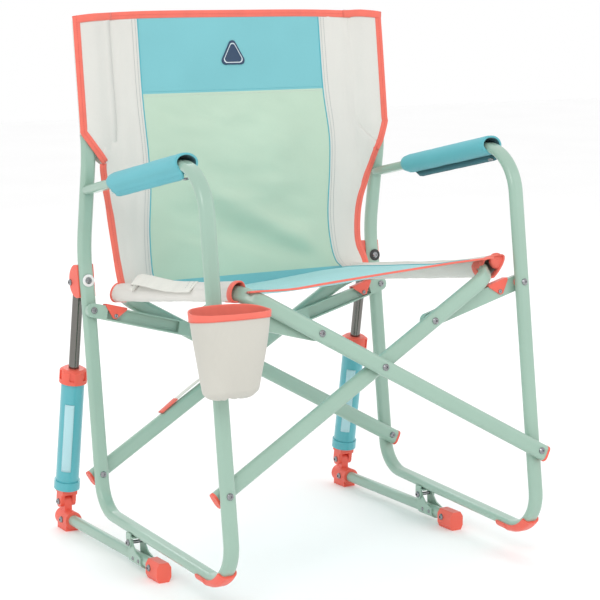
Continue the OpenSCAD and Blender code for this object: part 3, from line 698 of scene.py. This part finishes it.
def sewn_tape(name, path, ups, carry):
    """Coral tape and the stitches on it. carry(piece) says what they move with."""
    carry(sweep(name, path, ups, flat_section(BINDING_W, BINDING_T), CORAL_TAPE))
    carry(stitches(f"{name}_stitches", lifted(path, ups, 1.4), ups, CORAL_THREAD))


def sleeve_binding(side):
    """Tape down the outer edge of a sleeve and round its lower corner."""
    shape = SLEEVE_RIGHT if side > 0 else SLEEVE_LEFT
    edge = [(abs(shape["outer"]) - TAPE_INSET, w) for w in spread(TOP_W, 722, 24)]
    corner = sorted(shape["low"], key=lambda p: -abs(p[0]))[:3]
    turn = [(abs(x) - TAPE_INSET * 0.8, w + 2) for x, w in corner]
    for (xa, wa), (xb, wb) in zip([edge[-1]] + turn, turn):
        edge += [(xa + (xb - xa) * t, wa + (wb - wa) * t) for t in (0.25, 0.5, 0.75, 1.0)]
    path = [on_side(side, side * (x - HALF), tape_front(side, side * x, w), w) for x, w in edge]
    path, ups = resampled(path, [FORWARD] * len(path), 5)
    sewn_tape(f"{side_name(side)}_sleeve_binding", path, ups,
              lambda piece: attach(piece, f"{side_name(side)}_frame"))


def back_binding(side):
    """Tape down the edge of the back cloth, from the foot of the sleeve."""
    table, top = (BACK_RIGHT, 672) if side > 0 else (BACK_LEFT, 668)
    path, ups = on_back([(along(table, w) - side * TAPE_INSET, w) for w in spread(top, 446, 44)])
    sewn_tape(f"{side_name(side)}_back_binding", path, ups, folds_flat)


def top_tape_w(x):
    """w of the middle of the tape along the top edge."""
    return crowned(x, TOP_W) - BINDING_W / 2 + 2


def top_binding():
    """Tape along the top of the cloth, which comes forward a little to meet the sleeves' tapes."""
    xs = spread(-246, 246, 60)
    path, ups = on_back([(x, top_tape_w(x)) for x in xs])
    path = [p + FORWARD * 1.2 * smooth(205, 235, abs(x)) * MM for p, x in zip(path, xs)]
    sewn_tape("top_binding", path, ups, folds_flat)


def sleeve_top_binding(side):
    """Tape over the top of a sleeve, from the cloth across the post."""
    path = []
    for d in (230, 237, 244, 254, 264, 276, 289, 297, 305):
        w = top_tape_w(d)
        on_cloth = back_point(side * d, w) + FORWARD * 2.2 * MM
        on_post = on_side(side, side * (d - HALF), tape_front(side, side * d, w - 2) - 0.7, w)
        path.append(on_cloth.lerp(on_post, smooth(228, 262, d)))
    cap = sweep(f"{side_name(side)}_sleeve_top_binding", path, [FORWARD] * len(path),
                flat_section(BINDING_W, BINDING_T), CORAL_TAPE)
    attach(cap, f"{side_name(side)}_frame")


def bindings():
    """Coral tape round the back: on each sleeve, down each lower edge and along the top."""
    for side in (-1, 1):
        sleeve_binding(side)
        back_binding(side)
    top_binding()
    for side in (-1, 1):
        sleeve_top_binding(side)


def back_seams():
    """Teal piping on both seams with two rows of grey stitches beside it, and the headrest seam."""
    for side, table in ((-1, SEAM_LEFT), (1, SEAM_RIGHT)):
        for label, off in (("piping", 0.5), ("inner_stitches", 5.5), ("outer_stitches", 11.5)):
            name = f"{side_name(side)}_seam_{label}"
            path, ups = on_back([(along(table, w) + side * off, w) for w in spread(TOP_W - 4, 462, 110)])
            path = lifted(path, ups, 0.6)
            if label == "piping":
                folds_flat(sweep(name, path, ups, round_section(PIPING_R), TEAL_THREAD))
            else:
                folds_flat(stitches(name, path, ups, GREY_THREAD))
    for label, off, colour in (("upper", 3.5, TEAL_THREAD), ("lower", -3.5, WHITE_THREAD)):
        path, ups = on_back([(x, HEADREST_W + off) for x in spread(-176, 177, 90)])
        folds_flat(stitches(f"headrest_seam_{label}", lifted(path, ups, 0.5), ups, colour))


def rounded_triangle(half_w, height, radius, steps=8):
    """Outline of a triangle with round corners, point up, standing on y = 0."""
    corners = [(-half_w, 0), (half_w, 0), (0, height)]
    outline = []
    for i, c in enumerate(corners):
        c, before, after = (Vector((*p, 0)) for p in (c, corners[i - 1], corners[(i + 1) % 3]))
        a, b = (before - c).normalized(), (after - c).normalized()
        half_angle = a.angle(b) / 2
        start, end = c + a * radius / math.tan(half_angle), c + b * radius / math.tan(half_angle)
        centre = c + (a + b).normalized() * radius / math.sin(half_angle)
        for k in range(steps + 1):
            d = ((start - centre).lerp(end - centre, k / steps)).normalized() * radius
            outline.append((centre.x + d.x, centre.y + d.y))
    return outline


PATCH_X, PATCH_W = 2.0, 827.0                      # middle of the patch's foot
PATCH_HALF_W, PATCH_H, PATCH_CORNER = 27.5, 49, 7
PATCH_MID = 17                                     # from its foot up to its middle
# From its edge inwards: (distance from the edge, height over the cloth).
PATCH_STEPS = ((0, 0), (0, 1.6), (1.2, 2.0), (2.6, 2.0), (3.0, 1.7), (4.4, 1.7), (4.8, 1.2), (9, 1.2))
PATCH_RIM = 4                                      # the step that is the pale line


def patch():
    """Blank moulded patch: navy field, pale rim line, raised navy border."""
    out = back_normal(PATCH_X, PATCH_W + 20)
    rows = []
    for inset, lift in PATCH_STEPS:
        k = 1 - inset / PATCH_MID
        row = []
        for x, y in rounded_triangle(PATCH_HALF_W, PATCH_H, PATCH_CORNER):
            at = back_point(PATCH_X + x * k, PATCH_W + (PATCH_MID + (y - PATCH_MID) * k))
            row.append(at + out * (lift + CLOTH_T / 2) * MM)
        rows.append(row)
    piece = grid("headrest_blank_patch", rows, [NAVY, PALE_RIM], lambda i, j: 1 if i == PATCH_RIM else 0,
                 closed=True, cap=True)
    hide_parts("headrest_patch")
    folds_flat(piece)


# ---------- seat ----------

RAIL_X = RAIL_REACH * math.cos(BAR_ANGLE)
RAIL_W = CROSS_W + RAIL_REACH * math.sin(BAR_ANGLE)
SEAT_EDGE = RAIL_X - 8       # x of the sides of the seat cloth
SEAT_SEAM = 190.0            # x of the seams between its colour and the white sides
SEAT_FRONT = [(-230, 447), (-150, 449), (-90, 453), (0, 458.5), (60, 462), (150, 467), (230, 471)]
SEAT_BEND = 45.0             # radius of the bends between the rails and the bars
SLEEVE_ENDS = (FRONT_U + 22, REAR_U - 8)           # u of the ends of the rail sleeves
RAIL_SLEEVE = (10.4, 15.8)   # half its size up the bar and across
FLARE, FLARE_LEN = 24, 120   # how far the right one widens, and over what length
RAIL_STEPS = 36              # points round a rail sleeve, from the one furthest up the bar
RAIL_OPEN = range(13, 24)    # the steps left open where the tube bends away to the bar


def seat_point(x, u):
    """Seat cloth: rising towards the rails at its sides, dipping a little in the middle."""
    across = 1 - (x / SEAT_EDGE) ** 2
    length = smooth(FRONT_U, -180, u)
    front = along(SEAT_FRONT, x)
    w = front + (RAIL_W + 13 - front) * smooth(0.6, 1.0, abs(x) / SEAT_EDGE) * (0.2 + 0.5 * length)
    dip = 13 * max(across, 0) * length * (1 - 0.3 * smooth(60, 147, u))
    fold = 0.9 * rough(x, u * 0.6, 0, 60, 2.2) * length
    return cloth(x, u, w - dip + fold - 4 * smooth(60, 147, u))


def seat_normal(x, u):
    """Unit normal of the seat cloth, upwards."""
    a = seat_point(x + 2, u) - seat_point(x - 2, u)
    b = seat_point(x, u + 2) - seat_point(x, u - 2)
    return a.cross(b).normalized()


def on_seat(walk):
    """Points and normals of the seat cloth along a walk of (x, u) places."""
    return [seat_point(x, u) for x, u in walk], [seat_normal(x, u) for x, u in walk]


def seat_cloth():
    """Blue seat with white sides, bound at its front, with piping and stitches on both seams."""
    edge, middle_part = 6, 48                      # columns of a white side and of the colour
    xs = spread(-SEAT_EDGE, -SEAT_SEAM, edge)
    xs += spread(-SEAT_SEAM, SEAT_SEAM, middle_part)[1:] + spread(SEAT_SEAM, SEAT_EDGE, edge)[1:]
    rows = [[seat_point(x, u) for x in xs] for u in spread(FRONT_U - 4, REAR_U - 10, 56)]
    piece = grid("seat_cloth", rows, [WHITE_CLOTH, SEAT_CLOTH],
                 lambda i, j: 1 if edge <= j < edge + middle_part else 0)
    thickened(piece, CLOTH_T)
    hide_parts("seat_panel")
    across_joint(piece)
    path, ups = on_seat([(x, FRONT_U - 3) for x in spread(-SEAT_EDGE, SEAT_EDGE, 70)])
    across_joint(sweep("seat_front_binding", path, ups, flat_section(10, 3.0), CORAL_TAPE))
    for side in (-1, 1):
        name = side_name(side)
        us = spread(FRONT_U + 4, REAR_U - 12, 80)
        path, ups = on_seat([(side * SEAT_SEAM, u) for u in us])
        path = lifted(path, ups, 0.8)
        across_joint(sweep(f"{name}_seat_piping", path, ups, round_section(PIPING_R), TEAL_THREAD))
        path = lifted([seat_point(side * SEAT_SEAM + side * 6, u) for u in us], ups, 0.7)
        across_joint(stitches(f"{name}_seat_stitches", path, ups, GREY_THREAD))
    return piece


def across_joint(piece):
    """Seat cloth lies between the two rails, which are on the two seat frames; this only bakes its transform
    into its mesh.
    """
    start, end = cloth(-SEAT_EDGE, 0, SEAT_W), cloth(SEAT_EDGE, 0, SEAT_W)
    tuple(start)
    tuple(end)
    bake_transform(piece)


def rail_loop(side, u, grow=0.0, wrinkle=1.0):
    """Section of a seat sleeve round its rail, long across the bar. The right one flares at its front."""
    flare = FLARE * smooth(SLEEVE_ENDS[0] + FLARE_LEN, SLEEVE_ENDS[0], u) if side > 0 else 0
    ring = []
    for a in turns(RAIL_STEPS):                    # 0 points up the bar, away from the seat
        outward = max(0, math.cos(a))
        along_bar = math.cos(a) * (RAIL_SLEEVE[0] + grow) + flare * outward
        across = math.sin(a) * (RAIL_SLEEVE[1] + grow) * (1 - 0.012 * flare * outward)
        ripple = wrinkle * (1.1 * rough(u * 0.45, a * 22, side * 9, 24) + 0.6 * rough(u * 1.2, a * 14, 5, 22))
        size = 1 + ripple / 18
        ring.append(on_bar(side, RAIL_REACH + 1 + along_bar * size, u, 1 + across * size))
    return ring


def rail_binding(side, name, end, inner, width, body):
    """Tape round the end of a rail sleeve and along the edges of its opening, as far in as inner."""
    first, last = RAIL_OPEN[0], RAIL_OPEN[-1] + 1
    shares = spread(0, 1, 8)
    ring = rail_loop(side, end, grow=0.4, wrinkle=0.6)
    path = [ring[k % RAIL_STEPS] for k in range(last, first + RAIL_STEPS + 1)]
    path += [rail_loop(side, end + (inner - end) * t, grow=0.4)[first] for t in shares[1:]]
    path += rail_loop(side, inner, grow=0.4)[first + 1:last]
    path += [rail_loop(side, inner + (end - inner) * t, grow=0.4)[last] for t in shares[:-1]]
    axis = on_bar(side, RAIL_REACH + 1, 0, 1)
    centres = [axis + BACKWARD * (p - axis).dot(BACKWARD) for p in path]
    ups = [towards(centre, p) for centre, p in zip(centres, path)]
    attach(sweep(name, path, ups, flat_section(width, 2.8), CORAL_TAPE, closed=True), body)


def seat_sleeve(side):
    """White sleeve on a rail, bound in coral where the bent tube leaves it at each end."""
    name, body = ("right", "scissor_b") if side > 0 else ("left", "scissor_a")
    us = spread(*SLEEVE_ENDS, 84)
    reach = SEAT_BEND - 4

    def open_at(i, j):
        u = (us[i] + us[i + 1]) / 2
        return j in RAIL_OPEN and (u < FRONT_U + reach or u > REAR_U - reach)

    rows = [rail_loop(side, u) for u in us]
    piece = grid(f"{name}_rail_sleeve", rows, [WHITE_CLOTH], closed=True, skip=open_at)
    thickened(piece, 1.0)
    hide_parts(f"{name}_seat_sleeve")
    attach(piece, body)
    rail_binding(side, f"{name}_rail_sleeve_front_binding", us[0], FRONT_U + reach + 1, 14, body)
    rail_binding(side, f"{name}_rail_sleeve_rear_binding", us[-1], REAR_U - reach - 1, 6, body)
    return piece


def sleeve_end_disc():
    """Round coral reinforcement on the front end of the right rail sleeve."""
    at = on_bar(1, RAIL_REACH + 23, SLEEVE_ENDS[0] - 1, 1)
    dome = ((13.0, -5.0), (13.2, 0.0), (12.6, 1.6), (8.0, 2.4), (0.05, 2.8))
    turned("right_rail_sleeve_end_disc", at, FORWARD, dome, CORAL_TAPE, "scissor_b")


def strap(name, path, normals, width, thickness, material, body):
    """Flat webbing along a path, moving with the body."""
    piece = sweep(name, path, normals, flat_section(width, thickness), material)
    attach(piece, body)
    return piece


LOOP_REACH = RAIL_REACH + 11.6                     # where the webbing lies on the left rail sleeve
STRAP_ENDS = (-176, -30)                           # of the carry strap, up the bar from the crossing


def pull_loop():
    """Webbing loop on the left rail sleeve, bowed up at its rear end and sewn down at the front."""
    line = [(42, 2), (47, 5), (48, 9), (42, 12), (25, 12.5), (-5, 10), (-40, 6), (-75, 2.5), (-110, 1.2),
            (-158, 1.0)]                           # (u, lift over the sleeve)
    outward = towards(on_bar(-1, 0, 0, 0), on_bar(-1, 1, 0, 0.35))
    path = [on_bar(-1, LOOP_REACH, u, 3.5 + 0.5 * lift) + outward * lift * MM for u, lift in line]
    path, ups = resampled(path, [outward] * len(path), 6)
    piece = strap("pull_loop_webbing", path, ups, 24, 1.6, WEBBING, "scissor_a")
    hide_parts("pull_loop")
    for k, u in enumerate((-136, -152)):
        row = [on_bar(-1, LOOP_REACH - a * 0.2, u, 3.5 + a) + outward * 2.2 * MM for a in spread(-9, 9, 6)]
        sewn = stitches(f"pull_loop_stitches_{k + 1}", row, [outward] * len(row), GREY_THREAD)
        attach(sewn, "scissor_a")


def carry_strap():
    """Webbing strap lying along the rear bar of seat frame B, with a coral end tab."""
    up = towards(on_bar(1, 0, 0, 0), on_bar(1, 0, 0, 1))
    low, high = STRAP_ENDS
    path = []
    for s in spread(low, high, 24):
        bow = 3.4 * math.sin(math.pi * (s - low) / (high - low))
        path.append(on_bar(1, s, REAR_U, 14.6 + bow))
    piece = strap("carry_strap_webbing", path, [up] * len(path), 14, 1.6, WEBBING, "scissor_b")
    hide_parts("carry_strap")
    path = [on_bar(1, s, REAR_U, 15.2 + 0.06 * (s - low)) for s in spread(low - 3, low + 34, 8)]
    strap("carry_strap_tab", path, [up] * len(path), 16, 3.0, CORAL_TAPE, "scissor_b")


# ---------- armrests and cup holder ----------

ARM_CORNER, ARM_END = (-302.0, 655.0), (112.0, 626.5)      # (u, w) of the ends of an armrest's line
PAD_START, PAD_LEN = 56.0, 250.0                   # of the wrap, from the corner and along the line
PAD_HALF_W, PAD_HALF_H = 20.5, 15.8                # of the roll over the tube
FLAP_SLANT = 8.0             # how far each step of the flap's rear end is set forward


def on_armrest(side, x, distance, z):
    """A place by an armrest: distance back from its front corner, z above its middle line."""
    slope = math.atan2(ARM_CORNER[1] - ARM_END[1], ARM_END[0] - ARM_CORNER[0])
    u = ARM_CORNER[0] + distance * math.cos(slope) + z * math.sin(slope)
    w = ARM_CORNER[1] - distance * math.sin(slope) + z * math.cos(slope)
    return on_side(side, x, u, w)


def armrest_pad(side):
    """Foam wrap: a roll over the tube whose two edges meet in a flat flap on the outer side below."""
    name = side_name(side)
    seam = (side * 8.0, -17.5)
    # (x, z) from under the tube up the inner side, over the top and down the outer side to the flap
    profile = [(-side * 1.5, -16.2)]
    for k in range(1, 24):
        a = math.radians(-62 + 304 * k / 24)
        profile.append((-side * (1.2 + PAD_HALF_W * math.cos(a)), 0.5 + PAD_HALF_H * math.sin(a)))
    profile.append((seam[0] + side * 3, seam[1] + 2))
    profile += [(seam[0] + side * 1.0, -20.0), (seam[0] + side * 2.5, -24.5)]
    rows = []
    for d in spread(0, PAD_LEN, 60):
        ease = min(d, PAD_LEN - d)
        puff = 1 - 0.05 * smooth(10, 0, ease)
        row = []
        for n, (x, z) in enumerate(profile):
            ripple = 0.45 * rough(d * 0.8, x * 2, z * 2, 22, side * 3.0)
            below = max(0, n - len(profile) + 3)   # 1 and 2 on the flap
            along_pad = d * (1 - FLAP_SLANT * below / PAD_LEN)
            row.append(on_armrest(side, x * puff + ripple * 0.4, PAD_START + along_pad, z * puff + ripple))
        rows.append(row)
    if side > 0:
        rows = [list(reversed(row)) for row in rows]
    # The inner face takes the darker inside cloth, partly painted shade.
    piece = grid(f"{name}_armrest_wrap", rows, [PAD_CLOTH, PAD_INSIDE_SHADED])
    thickened(piece, 3.4, -1.0, back=1)
    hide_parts(f"{name}_armrest_pad")
    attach(piece, f"{name}_frame")
    down = towards(on_armrest(side, 0, 0, 0), on_armrest(side, 0, 0, -1))
    out = (Vector((side, 0, 0)) + down * 0.4).normalized()
    row = []
    for d in spread(4, PAD_LEN - 4, 40):
        row.append(on_armrest(side, seam[0] + side * 3.4, PAD_START + d, seam[1] - 1.0))
    sewn = stitches(f"{name}_armrest_stitches", row, [out] * len(row), TEAL_THREAD)
    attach(sewn, f"{name}_frame")
    return piece


CUP_X, CUP_TOP, CUP_H = -3.0, 428.0, 128.0         # its middle from the left frame's, its top, its height
CUP_MOUTH, CUP_DEPTH = 124.0, 85.0                 # across and front to back at the mouth
CUP_TAPER = 0.66                                   # size of the foot as a share of the mouth
CUP_BACK = FRONT_U - 11.6                          # u of its back, in front of the leg
CUP_STEPS = 72
# The gathered base as (size, drop) from the wall to its middle: shares of the foot and of the height.
CUP_BASE = ((0.97, 0.965), (0.88, 0.988), (0.74, 0.998), (0.58, 1.0), (0.4, 0.992), (0.22, 0.975),
            (0.08, 0.955))


def cup_ring(k):
    """Outline of the cup scaled by k: two half circles with a straight back and front."""
    ring = []
    radius, straight = CUP_DEPTH / 2, (CUP_MOUTH - CUP_DEPTH) / 2
    for a in turns(CUP_STEPS):
        shift = straight * max(-1, min(1, math.cos(a) * 1.6))
        ring.append(((shift + radius * math.cos(a)) * k, -radius * k + radius * math.sin(a) * k))
    return ring


def cup_rings(low, high, count, grow=0.0):
    """Rows of the cup wall from share low to share high of its height, 0 at the mouth."""
    rows = []
    for t in spread(low, high, count):
        k = (1 - (1 - CUP_TAPER) * t ** 1.15) * (1 - 0.05 * smooth(0.9, 1.0, t))
        sag = 1 + 0.012 * math.sin(math.pi * t)
        row = []
        for a, (x, y) in zip(turns(CUP_STEPS), cup_ring(k * sag)):
            wave = 1.5 * rough(math.cos(a) * 50, math.sin(a) * 50, t * 70, 34, 7.7) * smooth(0.05, 0.4, t)
            out = Vector((math.cos(a), math.sin(a)))
            rim = (9.0 if a < math.pi else 3.5) * smooth(0.12, 0.0, t) * math.sin(a)
            across = -HALF + CUP_X + x + out.x * (wave + grow)
            row.append(place(across, CUP_BACK + y + out.y * (wave * 0.8 + grow), CUP_TOP + rim - t * CUP_H))
        rows.append(row)
    return rows


def cup_holder():
    """Tapered cloth cup with a gathered base and a coral band round its mouth."""
    rows = cup_rings(0.03, 0.94, 40)
    base = cup_ring(CUP_TAPER * 0.96)
    middle_x, middle_y = (sum(p[axis] for p in base) / CUP_STEPS for axis in (0, 1))
    for k, drop in CUP_BASE:
        row = []
        for a, (x, y) in zip(turns(CUP_STEPS), base):
            pleat = math.sin(a * 9 + 1.3 * math.sin(a * 3)) * (1 - k) * 4.2
            px = middle_x + (x - middle_x) * k
            py = middle_y + (y - middle_y) * k
            height = CUP_TOP - CUP_H * drop + pleat + 1.5 * rough(px, py, 0, 16)
            row.append(place(-HALF + CUP_X + px, CUP_BACK + py, height))
        rows.append(row)
    piece = grid("cup_holder_cloth", rows, [CUP_CLOTH], closed=True)
    thickened(piece, 1.2, levels=1)
    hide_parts("cup_holder")
    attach(piece, "left_frame")
    band = grid("cup_holder_mouth_band", cup_rings(0.0, 0.1, 5, grow=0.5), [CORAL_TAPE], closed=True)
    thickened(band, 3.0, levels=1)
    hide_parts("cup_holder_band")
    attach(band, "left_frame")
    edge = cup_rings(0.09, 0.091, 1, grow=2.3)[0]
    centre = sum(edge, Vector()) / len(edge)
    ups = [(p - centre).normalized() for p in edge]
    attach(stitches("cup_band_stitches", edge + edge[:1], ups + ups[:1], CORAL_THREAD), "left_frame")
    return piece


# ---------- small hardware ----------

LABEL_R = 20.25              # just outside a strut's cylinder
LABEL_TURN = 0.62            # radians from straight ahead towards negative x


def label(side):
    """Blank strip on a strut's cylinder, facing forwards and towards negative x."""
    name = side_name(side)
    low, high = (Vector(v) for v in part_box(f"{name}_strut_cylinder"))
    rod_low, rod_high = (Vector(v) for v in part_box(f"{name}_strut_rod"))
    axis = Vector((0, -math.sin(STRUT_LEAN), math.cos(STRUT_LEAN)))
    front = Vector((0, -math.cos(STRUT_LEAN), -math.sin(STRUT_LEAN)))
    centre = (rod_low + rod_high) / 2
    centre += axis * ((low.z + high.z) / 2 - centre.z) / axis.z
    rows = []
    for s in spread(-62, 62, 24):
        row = []
        for a in spread(-0.42, 0.42, 8):
            turn = a - LABEL_TURN
            out = Vector((math.sin(turn), 0, 0)) + front * math.cos(turn)
            row.append(centre + axis * s * MM + out * LABEL_R * MM)
        rows.append(row)
    piece = grid(f"{name}_strut_blank_label", rows, [LABEL])
    thickened(piece, 0.3)
    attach(piece, f"strut_cylinder_{name}")


def turned(name, at, out, profile, material, body):
    """A small round part: profile gives (radius, height) pairs from its foot to its middle."""
    side_ways = out.orthogonal().normalized()
    up = out.cross(side_ways)
    spokes = [side_ways * math.cos(a) + up * math.sin(a) for a in turns(ROUND_STEPS)]
    rows = [[at + spoke * radius * MM + out * height * MM for spoke in spokes] for radius, height in profile]
    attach(grid(name, rows, [material], closed=True), body)


def wedge_screws():
    """One small screw on the front cheek of each coral wedge."""
    dome = ((3.6, 0.0), (3.6, 0.8), (3.1, 1.5), (2.2, 1.9), (1.5, 2.0), (1.3, 1.2), (0.05, 1.1))
    for row, u in (("front", FRONT_U + 8), ("rear", REAR_U - 22)):
        for side in (-1, 1):
            name = side_name(side)
            lower = 2.4 if side > 0 else 0         # the right screws sit a little lower
            at = on_side(side, -side * 38.5, u, LINK_LEG_W - 12.5 - lower)
            turned(f"{row}_{name}_wedge_screw", at, FORWARD, dome, ZINC, f"{row}_{name}_link_body")


def strut_bolt_washers():
    """Plastic washers under the heads of the bolts that hold the strut mounts."""
    flat = ((10.4, -1.4), (10.4, 0.1), (10.0, 0.5), (6.2, 0.5), (5.7, 0.1))
    for side, material in ((-1, WHITE_PLASTIC), (1, BLACK_PLASTIC)):
        name = side_name(side)
        at = on_side(side, 0, REAR_U + 2 - 9.1, STRUT_BOLT_W)      # against the front of the leg
        turned(f"{name}_strut_bolt_washer", at, FORWARD, flat, material, f"{name}_frame")


# ---------- studio ----------

def studio():
    """White world, pale floor and three area lamps."""
    scene = bpy.context.scene
    scene.view_settings.view_transform = "Standard"
    world = bpy.data.worlds.new("studio")
    world.use_nodes = True
    world.node_tree.nodes["Background"].inputs["Color"].default_value = (1, 1, 1, 1)
    world.node_tree.nodes["Background"].inputs["Strength"].default_value = 1.0
    scene.world = world
    floor = Finish("pale_floor", (253, 253, 253), 0.7)
    floor.tint(floor.noise(floor.coordinates(), 2.0), 0.99, 1.01)
    corners = [Vector(p) for p in ((-9, -9, 0), (9, -9, 0), (9, 9, 0), (-9, 9, 0))]
    new_piece("studio_floor", corners, [(0, 1, 2, 3)], [floor.material])
    lamps = (("key", (-2.2, -2.6, 3.0), 1.8, 42),       # name, place, size and watts
             ("fill", (2.8, -2.2, 1.8), 2.6, 12),
             ("rim", (0.6, 2.8, 2.6), 2.0, 22))
    aim = Vector((MID_X, ORIGIN_Y, CAMERA_HEIGHT))
    for name, at, size, power in lamps:
        data = bpy.data.lights.new(name, "AREA")
        data.size, data.energy = size, power
        lamp = bpy.data.objects.new(name, data)
        lamp.location = at
        lamp.rotation_euler = (aim - Vector(at)).to_track_quat("-Z", "Y").to_euler()
        scene.collection.objects.link(lamp)


def camera():
    """Three-quarter view from the front and the left, aimed at the middle of the chair."""
    data = bpy.data.cameras.new("camera")
    data.lens = CAMERA_LENS
    data.sensor_width = CAMERA_SENSOR
    piece = bpy.data.objects.new("camera", data)
    target = Vector((MID_X, ORIGIN_Y, CAMERA_HEIGHT))
    away = Vector((math.sin(CAMERA_AZIMUTH) * math.cos(CAMERA_ELEVATION),
                   -math.cos(CAMERA_AZIMUTH) * math.cos(CAMERA_ELEVATION), math.sin(CAMERA_ELEVATION)))
    piece.location = target + away * CAMERA_DISTANCE
    piece.rotation_euler = (-away).to_track_quat("-Z", "Y").to_euler()
    bpy.context.scene.collection.objects.link(piece)
    bpy.context.scene.camera = piece


# ---------- the scene ----------

camera()
studio()
finish_frame()
back = back_cloth()
sleeves = [post_sleeve(side) for side in (-1, 1)]
bindings()
back_seams()
patch()
seat = seat_cloth()
for side in (-1, 1):
    seat_sleeve(side)
    armrest_pad(side)
    label(side)
wedge_screws()
strut_bolt_washers()
sleeve_end_disc()
pull_loop()
carry_strap()
cup = cup_holder()
